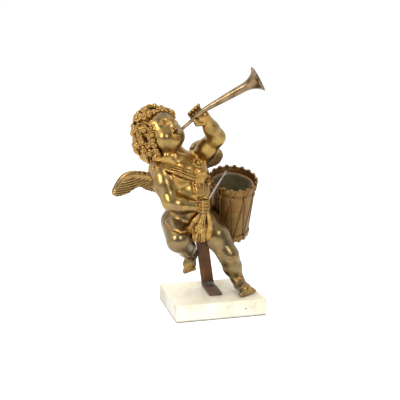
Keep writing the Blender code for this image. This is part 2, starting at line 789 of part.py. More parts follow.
def trumpet():
    """A tapering tube with a ball for the lips, hollowed from the lip of its bell."""
    path = tube_path()
    made = keep("trumpet", tube_mesh("trumpet", path), TRUMPET_BRASS)
    out = (path[-1][0] - path[-2][0]).normalized()
    lip = path[-1][0]
    clear = BELL_WALL * 2
    profile = [(0, clear), (BELL_RADIUS - BELL_WALL, clear)]
    for share in (1, 0.9, 0.78, 0.6, 0.3, 0):
        profile.append((bell_radius(share) - BELL_WALL, -BELL_LENGTH * (1 - share)))
    bore = TUBE_WAIST_RADIUS - BELL_WALL - BELL_THROAT_STEP
    profile += [(bore, -BELL_HOLLOW_DEPTH), (0, -BELL_HOLLOW_DEPTH)]
    place = Matrix.Translation(lip) @ Vector((0, 0, 1)).rotation_difference(out).to_matrix().to_4x4()
    hollow = turned("bell_hollow", profile, TUBE_SIDES, place)
    boolean(made, room("bell_hollow", solid_mesh(hollow, "bell_hollow")), "DIFFERENCE")
    boolean(made, mouth_ball("mouthpiece_ball"), "UNION")
    return made


def mouth_ball(name, grow=0.0):
    """The ball that the lips close on; grow makes it that much larger all round."""
    bm = bmesh.new()
    place = Matrix.Translation(spot(MOUTH))
    bmesh.ops.create_uvsphere(
        bm, u_segments=12, v_segments=8, radius=MOUTHPIECE_RADIUS + grow, matrix=place
    )
    return room(name, mesh_from(bm, name))


def drum_radius(height):
    return DRUM_BOTTOM_RADIUS + (DRUM_TOP_RADIUS - DRUM_BOTTOM_RADIUS) * height / DRUM_HEIGHT


def drum_place():
    return stand(spot(DRUM_BOTTOM), spot(DRUM_TOP))


def drum():
    """A tapering bucket with a notched hoop at each end, and a rope laced between them."""
    top = DRUM_HEIGHT
    proud_top = drum_radius(top) + HOOP_PROUD
    proud_low = drum_radius(0) + HOOP_PROUD
    ledge = top - HOOP_HEIGHT
    inner_ledge = proud_top - HOOP_WALL - HOOP_SLOPE / 2
    profile = [
        (proud_top - HOOP_WALL, top),
        (proud_top, top),
        (proud_top, ledge),
        (drum_radius(ledge), ledge - HOOP_SLOPE),
        (drum_radius(HOOP_HEIGHT), HOOP_HEIGHT + HOOP_SLOPE),
        (proud_low, HOOP_HEIGHT),
        (proud_low, 0),
        (0, 0),
        (0, DRUM_FLOOR),
        (drum_radius(0) - DRUM_WALL, DRUM_FLOOR),
        (drum_radius(ledge) - DRUM_WALL, ledge - HOOP_SLOPE),
        (inner_ledge, ledge + HOOP_SLOPE),
        (proud_top - HOOP_WALL, top),
    ]
    made = keep("drum", solid_mesh(turned("drum", profile, 24), "drum"), DRUM_BRASS, smooth=False)
    trim = room("drum_trim", drum_trim())
    boolean(made, trim, "UNION", crossing=True)
    made.matrix_world = drum_place()
    trim.matrix_world = drum_place()
    return made


def drum_trim():
    """Tabs on both hoops, the leather tugs, and the rope laced from them to the bottom hoop."""
    bm = bmesh.new()
    tab = Matrix.Diagonal((HOOP_WALL * 1.1, TAB_WIDTH, TAB_HEIGHT * 2, 1))
    for index in range(TAB_COUNT):
        turn = Matrix.Rotation(2 * pi * (index + 0.35) / TAB_COUNT, 4, "Z")
        for height in (DRUM_HEIGHT - 0.1 * TAB_HEIGHT, 0.1 * TAB_HEIGHT):
            radius = drum_radius(height) + HOOP_PROUD - HOOP_WALL / 2
            bmesh.ops.create_cube(bm, size=1, matrix=turn @ Matrix.Translation((radius, 0, height)) @ tab)
    high = DRUM_HEIGHT - HOOP_HEIGHT
    middle = high - ROPE_THICKNESS - TUG_LENGTH / 2
    step = 2 * pi / TUG_COUNT
    half_pair = ROPE_SPREAD / 2 / drum_radius(high)
    tug = Matrix.Diagonal((2 * ROPE_THICKNESS, TUG_WIDTH, TUG_LENGTH, 1))
    for index in range(TUG_COUNT):
        turn = TUG_TURN + index * step
        place = Matrix.Rotation(turn, 4, "Z") @ Matrix.Translation((drum_radius(middle), 0, middle))
        bmesh.ops.create_cube(bm, size=1, matrix=place @ tug)
        for side in (-1, 1):
            rope(bm, on_drum(turn + side * half_pair, high + HOOP_SLOPE), on_drum(turn, middle))
            foot = on_drum(turn + side * (step / 2 - half_pair / 2), HOOP_HEIGHT)
            rope(bm, on_drum(turn, middle), foot)
    return mesh_from(bm, "drum_trim")


def on_drum(turn, height):
    radius = drum_radius(height) + ROPE_THICKNESS * 0.35
    return Vector((radius * cos(turn), radius * sin(turn), height))


def rope(bm, start, end):
    """A straight length of rope between two places."""
    along = end - start
    turn = Vector((0, 0, 1)).rotation_difference(along).to_matrix().to_4x4()
    place = Matrix.Translation((start + end) / 2) @ turn
    radius = ROPE_THICKNESS / 2
    bmesh.ops.create_cone(
        bm, segments=4, radius1=radius, radius2=radius, depth=along.length, cap_ends=True, matrix=place
    )


def drum_room():
    """The drum's outside, a gap larger, which the hip is hollowed by where the drum rests on it."""
    proud = HOOP_PROUD + FIT_GAP
    low = -TAB_HEIGHT - FIT_GAP
    high = DRUM_HEIGHT + TAB_HEIGHT + FIT_GAP
    profile = [(0, high), (drum_radius(high) + proud, high), (drum_radius(low) + proud, low), (0, low)]
    return room("drum_room", solid_mesh(turned("drum_room", profile, 36, drum_place()), "drum_room"))


def room(name, mesh):
    """A cutter that leaves a piece its place in the figure."""
    return as_cutter(bpy.data.objects.new(name, mesh))


def strap_room():
    """The end of the bracket's strap, a gap larger, where it is let into the casting."""
    bm = bmesh.new()
    high = STRAP_HEIGHT + FIT_GAP
    low = STRAP_HEIGHT / 2
    size = Matrix.Diagonal((STRAP_WIDTH + 2 * FIT_GAP, STRAP_THICKNESS + 2 * FIT_GAP, high - low, 1))
    shape = Matrix.Translation((0, -STRAP_THICKNESS / 2, (high + low) / 2)) @ size
    fall = Matrix.Translation((0, 0, STRAP_BEND)) @ strap_lean() @ Matrix.Translation((0, 0, -STRAP_BEND))
    bmesh.ops.create_cube(bm, size=1, matrix=strap_place() @ fall @ shape)
    return room("strap_room", mesh_from(bm, "strap_room"))


def stick_path():
    """Places along the drumstick with its radius at each: a plain rod that swells to an acorn."""
    butt = spot(STICK_BUTT)
    tip = spot(STICK_TIP)
    axis = (tip - butt).normalized()
    neck = tip - axis * STICK_TIP_LENGTH
    path = [(butt, STICK_RADIUS * 1.25), (neck, STICK_RADIUS)]
    for step in range(1, 6):
        share = step / 5
        radius = STICK_TIP_RADIUS * max(sin(pi * share**0.8), 0.2)
        path.append((neck + axis * STICK_TIP_LENGTH * share, radius))
    return path


def drumstick():
    return keep("drumstick", tube_mesh("drumstick", stick_path()), STICK_BRASS)


for old in list(bpy.data.objects):
    bpy.data.objects.remove(old)
PARTS = bpy.data.collections.new(OBJECT_NAME)
CUTTERS = bpy.data.collections.new("cutters")
bpy.context.scene.collection.children.link(PARTS)
bpy.context.scene.collection.children.link(CUTTERS)

BRASS = material("aged_gilt_brass", (0.42, 0.30, 0.13), 0.35, 1.0)
TRUMPET_BRASS = material("worn_tan_brass", (0.52, 0.40, 0.26), 0.32, 1.0)
DRUM_BRASS = material("dull_brown_brass", (0.36, 0.24, 0.11), 0.45, 1.0)
STICK_BRASS = material("grey_brass", (0.48, 0.42, 0.38), 0.35, 1.0)
RUST = material("rusted_iron", (0.22, 0.10, 0.07), 0.6, 0.6)
STEEL = material("grey_steel", (0.35, 0.33, 0.31), 0.5, 0.8)
MARBLE = material("white_marble", (0.85, 0.82, 0.76), 0.4, 0.0)

base = marble_base()
bracket = support_bracket()
screw = bracket_screw()
hole = screw_hole()
boolean(base, hole, "DIFFERENCE")
boolean(bracket, hole, "DIFFERENCE")
rivet = bracket_rivet()
cupid = figure()
horn = trumpet()
barrel = drum()
stick = drumstick()

# Each piece that the casting holds leaves its place in it, a gap larger
rooms = [
    room("horn_room", tube_mesh("horn_room", tube_path(), FIT_GAP)),
    mouth_ball("mouth_room", FIT_GAP),
    room("stick_room", tube_mesh("stick_room", stick_path(), FIT_GAP)),
    drum_room(),
    strap_room(),
]
for cutter in rooms:
    boolean(cupid, cutter, "DIFFERENCE")
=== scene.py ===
# %% [markdown]
# # A brass cupid on a marble slab
# The real thing is a small figure, cast in brass and partly gilt, screwed to a white slab by an iron bracket.
# This script dresses the packed solids: each keeps its place, and a finer piece with its finish replaces it.
# Loading the packed frame first gives the exact boxes that every new piece has to sit in.

from math import ceil, cos, pi, radians, sin

import bmesh
import bpy
import numpy as np
from mathutils import Matrix, Vector


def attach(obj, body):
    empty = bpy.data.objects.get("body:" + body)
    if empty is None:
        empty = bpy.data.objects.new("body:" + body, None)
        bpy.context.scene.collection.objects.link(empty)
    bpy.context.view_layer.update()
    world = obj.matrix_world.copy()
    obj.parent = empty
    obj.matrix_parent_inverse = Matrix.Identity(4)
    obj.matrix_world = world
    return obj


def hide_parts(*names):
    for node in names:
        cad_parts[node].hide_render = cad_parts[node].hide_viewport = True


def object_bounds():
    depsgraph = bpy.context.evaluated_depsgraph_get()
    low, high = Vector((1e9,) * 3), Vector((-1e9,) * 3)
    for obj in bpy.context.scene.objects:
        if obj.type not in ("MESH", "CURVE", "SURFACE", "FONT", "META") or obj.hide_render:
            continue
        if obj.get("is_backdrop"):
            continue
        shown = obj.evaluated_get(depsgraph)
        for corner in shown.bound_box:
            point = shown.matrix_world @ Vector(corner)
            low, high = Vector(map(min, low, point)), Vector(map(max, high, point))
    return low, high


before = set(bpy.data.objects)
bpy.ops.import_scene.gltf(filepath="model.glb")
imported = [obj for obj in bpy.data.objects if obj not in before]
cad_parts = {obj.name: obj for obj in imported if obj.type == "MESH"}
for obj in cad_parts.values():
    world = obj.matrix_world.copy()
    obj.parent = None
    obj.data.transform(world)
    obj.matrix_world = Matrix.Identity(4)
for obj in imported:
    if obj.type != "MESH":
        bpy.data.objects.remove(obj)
CAD_LOW, CAD_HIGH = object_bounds()
print("solids:", sorted(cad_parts))
print("box in mm:", [round(1000 * side) for side in CAD_HIGH - CAD_LOW])

# %% [markdown]
# ## The view that the pose is laid out in
# A figure is easiest to place as it is seen, so its landmarks are given in the front view: across to the
# right, up from the marble, and near, towards the viewer. One unit is a millimetre.
# The alternative, typing world coordinates, would hide which numbers belong to the outline.

# %% The front view's axes
VIEW_TURN = radians(15)
ACROSS = Vector((cos(VIEW_TURN), -sin(VIEW_TURN), 0))
NEAR = Vector((-sin(VIEW_TURN), -cos(VIEW_TURN), 0))
UP = Vector((0, 0, 1))
UNIT = 0.001
BASE_SIZE = (0.114, 0.098, 0.021)
BASE_TOP = BASE_SIZE[2]


def spot(place):
    """A place of the front view as a point in metres."""
    across, up, near = place
    return UNIT * (across * ACROSS + up * UP + near * NEAR) + BASE_TOP * UP


def vec(values):
    """Numbers as an array, so that they can be added and scaled."""
    return np.array(values, float)


def unit(values):
    return vec(values) / np.linalg.norm(values)


def steps(first, last, count):
    """Evenly spaced plain numbers."""
    return np.linspace(first, last, count).tolist()


def axes_of(side, up):
    """Axes (side, up, front) as rows, from a side direction and an up direction that may need squaring."""
    side = unit(side)
    up = unit(vec(up) - side * (vec(up) @ side))
    return np.array([side, up, np.cross(side, up)])


TORSO_AXES = axes_of((0.82, 0.06, -0.57), (-0.11, 1, -0.03))
HEAD_AXES = axes_of((0.68, 0.12, -0.72), (-0.42, 0.87, -0.25))
print("the face looks along", HEAD_AXES[2].round(2), "in across, up and near")

# %% [markdown]
# ## Wax masses
# A caster's model is built up in wax: round masses pressed together until their joints disappear.
# Here each mass is a distance to an egg or a tapering limb, and a smooth minimum melts neighbours together.
# Metaballs would do this too, but a distance also says later where a hollow is, which the patina and the
# painted shade need.

# %% Melting
FAR = 1000.0
MARGIN = 6.0


def smooth_union(a, b, melt):
    overlap = np.clip(1 - np.abs(a - b) / melt, 0, None)
    return np.minimum(a, b) - overlap**2 * melt / 4


def smooth_cut(a, b, melt):
    return -smooth_union(-a, b, melt)


print("two surfaces that meet are raised by", -smooth_union(0, 0, 2), "mm when they melt by 2 mm")

# %% Eggs
class Egg:
    """An ellipsoid, whose radii are along the side, up and front of its axes."""

    def __init__(self, centre, radii, axes=np.identity(3), melt=5.0):
        self.centre = vec(centre)
        self.radii = vec(radii) * np.ones(3)
        self.axes = axes
        self.melt = melt
        self.reach = self.radii.max()

    def local(self, points):
        return (points - self.centre) @ self.axes.T / self.radii

    def distance(self, points):
        local = self.local(points)
        near = np.linalg.norm(local, axis=1)
        steep = np.linalg.norm(local / self.radii, axis=1)
        return near * (near - 1) / np.maximum(steep, 1e-9)

    def rough(self):
        turn = Matrix(self.axes.T.tolist()).to_4x4()
        return [Matrix.Translation(self.centre) @ turn @ Matrix.Diagonal((*self.radii, 1))]


print("an egg of radius 2 is met", Egg((0, 0, 0), 2).distance(vec([[5, 0, 0]])), "mm away")

# %% Limbs
class Limb:
    """A tapering round limb through two or more places, each given as (place, radius)."""

    def __init__(self, *stops, melt=5.0):
        self.places = [vec(place) for place, _ in stops]
        self.radii = [radius for _, radius in stops]
        self.melt = melt
        self.centre = np.mean(self.places, axis=0)
        self.reach = max(np.linalg.norm(self.places - self.centre, axis=1) + vec(self.radii))

    def distance(self, points):
        nearest = np.full(len(points), FAR)
        for a, b, ra, rb in zip(self.places, self.places[1:], self.radii, self.radii[1:]):
            along = b - a
            share = np.clip((points - a) @ along / (along @ along), 0, 1)
            gap = np.linalg.norm(points - a - share[:, None] * along, axis=1)
            nearest = smooth_union(nearest, gap - ra - share * (rb - ra), min(ra, rb) * 0.6)
        return nearest

    def rough(self):
        balls = []
        for a, b, ra, rb in zip(self.places, self.places[1:], self.radii, self.radii[1:]):
            count = max(2, ceil(np.linalg.norm(b - a) / (0.55 * min(ra, rb))))
            for share in np.linspace(0, 1, count + 1):
                size = Matrix.Scale(ra + share * (rb - ra), 4)
                balls.append(Matrix.Translation(a + share * (b - a)) @ size)
        return balls


print("a short limb takes", len(Limb(((0, 0, 0), 2), ((9, 0, 0), 1)).rough()), "rough balls")

# %% Forms
class Form:
    """Masses that melt together, less the hollows pressed into them; it can be a mass of a larger form."""

    def __init__(self, masses, hollows=(), melt=3.0):
        self.masses = masses
        self.hollows = hollows
        self.melt = melt
        self.centre = np.mean([mass.centre for mass in masses], axis=0)
        self.reach = max(np.linalg.norm(mass.centre - self.centre) + mass.reach for mass in masses)

    def distance(self, points):
        total = np.full(len(points), FAR)
        for mass in self.masses:
            near = close_to(mass, points)
            total[near] = smooth_union(total[near], mass.distance(points[near]), mass.melt)
        for hollow in self.hollows:
            near = close_to(hollow, points)
            total[near] = smooth_cut(total[near], hollow.distance(points[near]), hollow.melt)
        return total

    def rough(self):
        return [matrix for mass in self.masses for matrix in mass.rough()]


def close_to(mass, points):
    """The points that a mass can change, so that the rest cost nothing."""
    limit = mass.reach + mass.melt + MARGIN
    return np.flatnonzero(((points - mass.centre) ** 2).sum(axis=1) < limit**2)


def front_of(form, across, up, lift=0.0):
    """The place where the form's front is met, looking straight at the front view."""
    near = np.linspace(80, -60, 561)
    line = np.column_stack([np.full_like(near, across), np.full_like(near, up), near])
    inside = np.flatnonzero(form.distance(line) < 0)
    return np.array([across, up, (near[inside[0]] if len(inside) else 0.0) + lift])


def along_line(places, share):
    """The place at a share, 0 to 1, of the way along a smooth line through the places."""
    last = len(places) - 1
    at = min(max(share, 0), 1) * last
    first = min(int(at), last - 1)
    before, start, end, after = (vec(places[min(max(first + step, 0), last)]) for step in (-1, 0, 1, 2))
    t = at - first
    bend = (2 * before - 5 * start + 4 * end - after) * t + (3 * start - before - 3 * end + after) * t * t
    return start + 0.5 * t * (end - before + bend)


print("an egg's front is met at", front_of(Egg((0, 0, 0), 2), 0, 0))

# %% [markdown]
# ## The torso and the legs
# The child leans to the left, chest turned to the right, with a round belly and fat, soft thighs.
# Few large eggs give that outline; thin hollows pressed in afterwards give the creases.

# %% Torso
HEAD = (-62.5, 202.5, 10)
NECK_BASE = (-38, 163, -3)
CHEST = (-34, 146, 2)
BELLY = (-27, 114, 7)
PELVIS = (-27, 91, -2)
SHOULDER_R = (-62, 158, 15)
SHOULDER_L = (-16.5, 164, -14)


def on_head(front, up, side):
    """A place measured from the middle of the skull along its own front, up and left directions."""
    return vec(HEAD) + HEAD_AXES.T @ vec((side, up, front))


def breast(side):
    return vec(CHEST) + TORSO_AXES.T @ vec((13 * side, 6, 15))


def torso():
    return Form([
        Egg(CHEST, (31, 26, 22), TORSO_AXES),
        Egg(BELLY, (28, 27, 26.5), TORSO_AXES, melt=9),
        Egg(PELVIS, (31, 20, 23), TORSO_AXES, melt=9),
        Limb((NECK_BASE, 17), (on_head(-4, -16, 0), 14), melt=8),
        Limb((SHOULDER_R, 13), (SHOULDER_L, 12.5), melt=8),
        Egg(breast(1), (11, 9, 8), TORSO_AXES, melt=8),
        Egg(breast(-1), (11, 9, 8), TORSO_AXES, melt=8),
        Egg((-37, 84, -17), 18, melt=7),
        Egg((-9, 87, -20), 19.5, melt=7),
    ])


print("torso masses:", len(torso().masses))

# %% Legs and feet
HIP_R = (-41, 90, 6)
KNEE_R = (-40.5, 74, 34)
CALF_R = (-31, 58, 8)
ANKLE_R = (-25.5, 45.5, -14)
HIP_L = (-8, 88, -10)
THIGH_L = (6, 72, 0)
KNEE_L = (21.5, 48.5, 6)
CALF_L = (27, 32, 2)
ANKLE_L = (33.5, 16, 1)
BALL_L = (42.5, 7, 15)


def toe_row(roots, tips, radii):
    """Five toes between the first and the last of two pairs of places, the big toe first."""
    toes = []
    for share in np.linspace(0, 1, 5):
        root = vec(roots[0]) + share * (vec(roots[1]) - roots[0])
        tip = vec(tips[0]) + share * (vec(tips[1]) - tips[0])
        thick = radii[0] + share * (radii[1] - radii[0])
        middle = (root + tip) / 2 + vec((0, 0.8, 0))
        toes.append(Limb((root, thick), (middle, thick * 0.9), (tip, thick * 1.05), melt=0.4))
    return toes


def legs():
    left_toes = toe_row([(40, 7.0, 18), (49, 6.5, 10)], [(37.5, 3.6, 26.5), (54, 4.0, 13.5)], (3.4, 2.3))
    right_toes = toe_row([(-31, 29, -12), (-23, 30, -15)], [(-33, 22.8, -10), (-21, 25, -14)], (3.0, 2.1))
    return Form([
        Limb((HIP_R, 22), (KNEE_R, 14.5)),
        Limb(((-39.5, 71, 32), 12.5), (CALF_R, 11.5), (ANKLE_R, 7.5), melt=4),
        Limb((ANKLE_R, 7.3), ((-27, 35, -16), 7.6)),
        Egg((-27.5, 30.5, -15), (8.6, 6, 6), melt=4),
        Egg((-24, 44, -20), (6.5, 6.5, 7)),
        Limb((HIP_L, 19.5), (THIGH_L, 15.5), (KNEE_L, 12.4)),
        Limb((KNEE_L, 12.2), (CALF_L, 11.6), (ANKLE_L, 7.6), melt=6),
        Limb((ANKLE_L, 7.6), ((40, 8.5, 12), 7), melt=4),
        Egg((35, 7, -5), 6.5),
        Egg(BALL_L, (9, 5.6, 6.4), axes_of((0.8, 0.1, -0.6), (0, 1, 0))),
        *left_toes,
        *right_toes,
    ])


print("leg masses:", len(legs().masses))

# %% [markdown]
# ## Arms and hands
# The right arm comes down across the belly and its fist holds the stick; the left one lifts the trumpet.
# Fingers are short limbs that melt only a little, so that a dark line is left between them.

# %% Arms
ELBOW_R = (-48.5, 120, 30)
WRIST_R = (-20, 116.5, 38)
ELBOW_L = (5.5, 196, 8)
WRIST_L = (-7, 218.5, 25)
HAND_L = (-14.5, 223, 29)
MOUTH = (-38.5, 204.5, 31)
TUBE_BEND = (-10.5, 229.5, 38)


def fist():
    """Four stacked fingers and a thumb, closed round the stick."""
    fingers = []
    for index in range(4):
        up = 122.6 - 3.9 * index
        knuckle = ((-16.5, up, 38.5), 2.0)
        middle = ((-10.5, up - 0.2, 44.0), 1.95)
        tip = ((-4.5, up - 0.4, 41.2), 1.85)
        fingers.append(Limb(knuckle, middle, tip, melt=0.5))
    thumb = (((-14, 123.5, 33), 2.6), ((-8, 126.5, 37), 2.2), ((-3.5, 125, 38), 1.8))
    return fingers + [Limb(*thumb, melt=1.0)]


def horn_hand():
    """Four fingers that pass behind the trumpet and hook over it, and the thumb in front of it."""
    fingers = []
    along = unit(vec(TUBE_BEND) - MOUTH)
    for index in range(4):
        root = vec((-21, 217.5, 28)) + along * (4.1 * index)
        top = vec((-26, 225.0, 30.5)) + along * (4.4 * index)
        tip = vec((-25.5, 227.0, 34.5)) + along * (4.4 * index)
        fingers.append(Limb((root, 2.6), (top, 2.35), (tip, 2.1), melt=0.5))
    thumb = (((-11, 214.5, 31), 3.8), ((-17, 214.0, 36.5), 3.2), ((-19.5, 217.5, 40), 2.6))
    return fingers + [Limb(*thumb, melt=1.0)]


def arms():
    return Form([
        Limb((SHOULDER_R, 14), ((-57, 140, 22), 12.6), (ELBOW_R, 10.6)),
        Limb((ELBOW_R, 10.4), ((-36, 117.5, 34), 9.2), (WRIST_R, 6.8)),
        Egg((-10.5, 115.5, 35.5), (6.5, 8.2, 6.2), melt=3),
        *fist(),
        Limb((SHOULDER_L, 12.8), ((-5, 181, -3), 12.2), (ELBOW_L, 11)),
        Limb((ELBOW_L, 10.8), ((-0.5, 207, 17), 9.4), (WRIST_L, 7.2)),
        Egg((-12.5, 221, 30), (10.5, 8, 6.8), axes_of((0.75, 0.62, 0.2), (-0.6, 0.75, 0)), melt=4),
        *horn_hand(),
    ], melt=5)


print("arm masses:", len(arms().masses))

# %% [markdown]
# ## The head
# The cheeks are blown up by the effort of the trumpet, so they are the largest masses of the face.
# Lids, nostrils and lips are thin limbs and small pits laid on them at the end.

# %% Face
EYE = (18.6, 4.4, 8.0)


def face():
    masses = [
        Egg(on_head(-2, 3, 0), (22.5, 25, 25), HEAD_AXES),
        Egg(on_head(7, -9, 0), (17.5, 18.5, 17), HEAD_AXES, melt=8),
        Egg(on_head(6, -22, 0), (13, 8, 12), HEAD_AXES, melt=6),
        Egg(on_head(18.5, -20, 0), (5.5, 5.5, 5), HEAD_AXES, melt=5),
        Limb((on_head(21, 5, 0), 2.0), (on_head(26.0, -4.6, 0), 2.4), melt=4),
    ]
    pits = [Egg(on_head(30.0, -12.8, 0.5), 2.9, melt=1.5)]
    for side in (-1, 1):
        masses += [
            Egg(on_head(12, -13, 10.5 * side), (10, 11.5, 11.5), HEAD_AXES, melt=5),
            Egg(on_head(24.0, -5.8, 2.6 * side), 1.5, melt=1.4),
            lip(side, -9.6, 1.5),
            lip(side, -16.4, 1.6),
        ]
        pits += [
            Egg(on_head(25.5, 4.2, 8.2 * side), (5.6, 3.0, 4.6), HEAD_AXES, melt=5),
            Egg(on_head(25.2, -7.6, 1.7 * side), 0.8, melt=0.6),
        ]
    return Form(masses, pits)


def lip(side, up, radius):
    """Half of the upper or the lower lip, pursed round the mouthpiece."""
    middle = (on_head(25.8, up, 0.5), radius)
    corner = (on_head(24.3, (up - 13) / 2, 5.0 * side), radius * 0.7)
    return Limb(middle, (on_head(25.4, up * 0.9 - 1.3, 3.0 * side), radius), corner, melt=1.6)


def eye(side):
    """An eyeball with its pupil's pit, and the two lids round it."""
    front, up, out = EYE
    pupil = Egg(on_head(front + 4.0, up - 0.3, out * side), 1.1, melt=0.4)
    ball = Form([Egg(on_head(front, up, out * side), 3.6)], [pupil], melt=0.8)
    lids = []
    for rise, lift, thick in ((1.7, 0.5, 0.8), (-1.9, 0.0, 0.65)):
        stops = [
            (on_head(front + 2.6, up + 0.1, (out - 4.0) * side), thick * 0.7),
            (on_head(front + 3.3 + lift, up + rise, (out - 1.0) * side), thick),
            (on_head(front + 2.6 + lift, up + rise * 0.85, (out + 2.2) * side), thick),
            (on_head(front + 0.6, up - 0.2, (out + 4.6) * side), thick * 0.7),
        ]
        lids.append(Limb(*stops, melt=0.7))
    return [ball, *lids]


def head():
    return Form([face(), *eye(-1), *eye(1)])


print("the mouth is at", (HEAD_AXES @ (vec(MOUTH) - HEAD)).round(1), "on the head: side, up, front")

# %% [markdown]
# ## Curls
# The hair is a cap of short curls, each a small snail of strands, with longer locks down the nape.
# A ridge that winds round each egg makes the strands; its phase is a spiral in the egg's own axes.
# The curls differ in size and turn by a seeded generator, so the result is the same on every run.

# %% One curl
chance = np.random.default_rng(7)
STRAND, STRAND_DEPTH = 2.3, 0.42
BAND_UP, BAND_SLOPE, BAND_HALF = 230.0, 0.19, 6.2
CURL_SIZE, SMALL_CURL = 4.4, 3.9
HAIRLINE = ((10, 3, 20), (9, -3, 21.5), (6.5, -9, 22), (4, -15, 21.5), (1.5, -21, 20), (0, -26, 17.5))


class Curl(Egg):
    """An egg with a spiral ridge on its outer side."""

    def __init__(self, centre, size, outward, melt=0.8):
        twist = chance.uniform(0, 2 * pi)
        side = unit(np.cross(outward, (0.3, 0.8, 0.52)))
        across = cos(twist) * side + sin(twist) * np.cross(outward, side)
        axes = axes_of(across, np.cross(outward, across))
        super().__init__(centre, (size * 1.2, size * 0.9, size * 0.9), axes, melt)
        self.hand = chance.choice((-1, 1))
        self.phase = chance.uniform(0, 2 * pi)

    def wave(self, points):
        """1 on the crest of a strand and -1 between two."""
        local = self.local(points)
        spread = np.hypot(local[:, 0], local[:, 1])
        turn = np.arctan2(local[:, 1], local[:, 0])
        spiral = np.cos(2 * pi * spread * self.radii[1] / STRAND - self.hand * turn + self.phase)
        return spiral * np.clip(spread * 2.5, 0, 1)

    def distance(self, points):
        return super().distance(points) - STRAND_DEPTH * self.wave(points)


print("a strand is", STRAND, "mm wide")

# %% Hair
def off_band(place):
    """The place, moved off the smooth band that parts the crown of curls from those behind the ear."""
    across, up, near = place
    above = up - BAND_UP - BAND_SLOPE * across
    if near > 6 and abs(above) < BAND_HALF:
        return place + vec((0, (BAND_HALF if above > 0 else -BAND_HALF) - above, 0))
    return place


def hair():
    cap = Egg(on_head(-5, 5, 0), (24.5, 25.5, 24), HEAD_AXES, melt=3)
    places = []
    for row in range(10):
        height = radians(84 - 16.5 * row)
        count = max(3, round(22 * cos(height)))
        for step in range(count):
            turn = 2 * pi * (step + 0.5 * (row % 2)) / count + chance.uniform(-0.08, 0.08)
            front, up, side = cos(height) * cos(turn), sin(height), cos(height) * sin(turn)
            front, up, side = -5 + 29 * front, 4 + 29.5 * up, 26.5 * side
            if front < 7 + 0.45 * min(up, 6) or up > 27:
                places.append((on_head(front, up, side), CURL_SIZE))
    for step in range(8):
        side = 6.3 * (step - 3.5)
        places.append((on_head(15.5 - 0.012 * side**2, 22.0 - 0.011 * side**2, side), SMALL_CURL))
    for side in (-1, 1):
        for front, up, out in HAIRLINE:
            places.append((on_head(front, up, out * side), SMALL_CURL))
    curls = []
    for place, size in places:
        size += chance.uniform(-0.5, 0.8)
        place = off_band(place)
        curls.append(Curl(place, size, unit(place - cap.centre)))
    return Form([cap] + curls + locks(), melt=1.2)


def locks():
    """Longer locks that hang from the nape and end in a hook."""
    made = []
    for x, y, near in ((-93, 186, -2), (-86, 178, -4), (-76, 175, -8), (-80, 176, 4), (-69, 174, -14)):
        start, bend = vec((x, y, near)), vec((x + 1, y - 7, near + 2))
        made.append(Limb((start, 5.2), (bend, 3.6), (bend + vec((2.5, -4, 0.5)), 2.2), melt=0.8))
    made.append(Limb(((-82, 174, 2), 4.8), ((-79, 168, 4), 3.2), ((-77.5, 164.5, 4), 1.8), melt=0.8))
    return made


print("curls and locks:", len(hair().masses))

# %% [markdown]
# ## Wings
# Each wing is a rounded leading edge with long feathers below it and a row of short ones over their roots.
# Flat eggs make the blade; the fine ridges that sweep across it and the scales near its root are a wave
# added to its distance. Forty modelled feathers would cost more and melt into each other anyway.

# %% Wings
WING_R_EDGE = (
    (-50, 145, -11), (-74, 146.3, -9), (-95, 148.6, -9),
    (-107, 146, -8), (-115, 138, -7), (-120.5, 128, -6),
)
WING_R_HEM = (
    (-118.5, 123.5, -5), (-108, 125, -5), (-98, 131, -6),
    (-88, 135.5, -8), (-80, 130.5, -8), (-64, 125, -9),
)
WING_L_EDGE = (
    (-26, 158, -26), (-22, 179, -38), (-12, 184, -46),
    (-4, 182.5, -51), (5, 177.5, -57), (12, 170, -62),
)
WING_L_HEM = (
    (13.5, 164, -63), (10, 158, -58), (3, 155, -52),
    (-5, 153, -45), (-13, 150, -36), (-20, 148, -28),
)
WING_EDGE_RADII = (5.0, 4.2, 4.0, 3.8, 3.4, 2.8)
FEATHER, FEATHER_DEPTH = 2.5, 0.38
SCALE_WIDTH, SCALE_HEIGHT = 4.6, 3.4


class Blade(Form):
    """A wing's flat body, with ridges that sweep to its tip and small scales near its root."""

    def __init__(self, masses, edge, sweep, root, melt):
        super().__init__(masses, melt=melt)
        self.edge, self.sweep, self.root = edge, unit(sweep), vec(root)

    def wave(self, points):
        """1 on the crest of a ridge or a scale and -1 between two; 0 on the rounded edge."""
        away = np.clip((self.edge.distance(points) - 0.2) / 1.5, 0, 1)
        local = points - self.root
        ridge = np.cos(2 * pi * (local @ self.sweep + 0.004 * (local**2).sum(axis=1)) / FEATHER)
        scale = np.cos(2 * pi * local[:, 0] / SCALE_WIDTH) * np.cos(2 * pi * local[:, 1] / SCALE_HEIGHT)
        far = np.clip((np.linalg.norm(local, axis=1) - 16) / 8, 0, 1)
        return away * (far * ridge + (1 - far) * scale)

    def distance(self, points):
        return super().distance(points) - FEATHER_DEPTH * self.wave(points)


def wing(edge, hem, facing, sweep):
    shares = np.linspace(0, 1, 18)
    radii = np.interp(shares, np.linspace(0, 1, len(edge)), WING_EDGE_RADII)
    band = Limb(*zip([along_line(edge, share) for share in shares], radii), melt=1.5)
    masses = [band]
    for share in np.linspace(0, 1, 24):
        start, end = along_line(edge, 0.97 - 0.93 * share), along_line(hem, share)
        along = end - start
        axes = axes_of(along, np.cross(facing, along))
        half = np.linalg.norm(along) / 2
        masses.append(Egg((start + end) / 2, (half + 2.2, 4.8, 2.7), axes, melt=2.0))
    return Blade(masses, band, sweep, edge[0], 2.5)


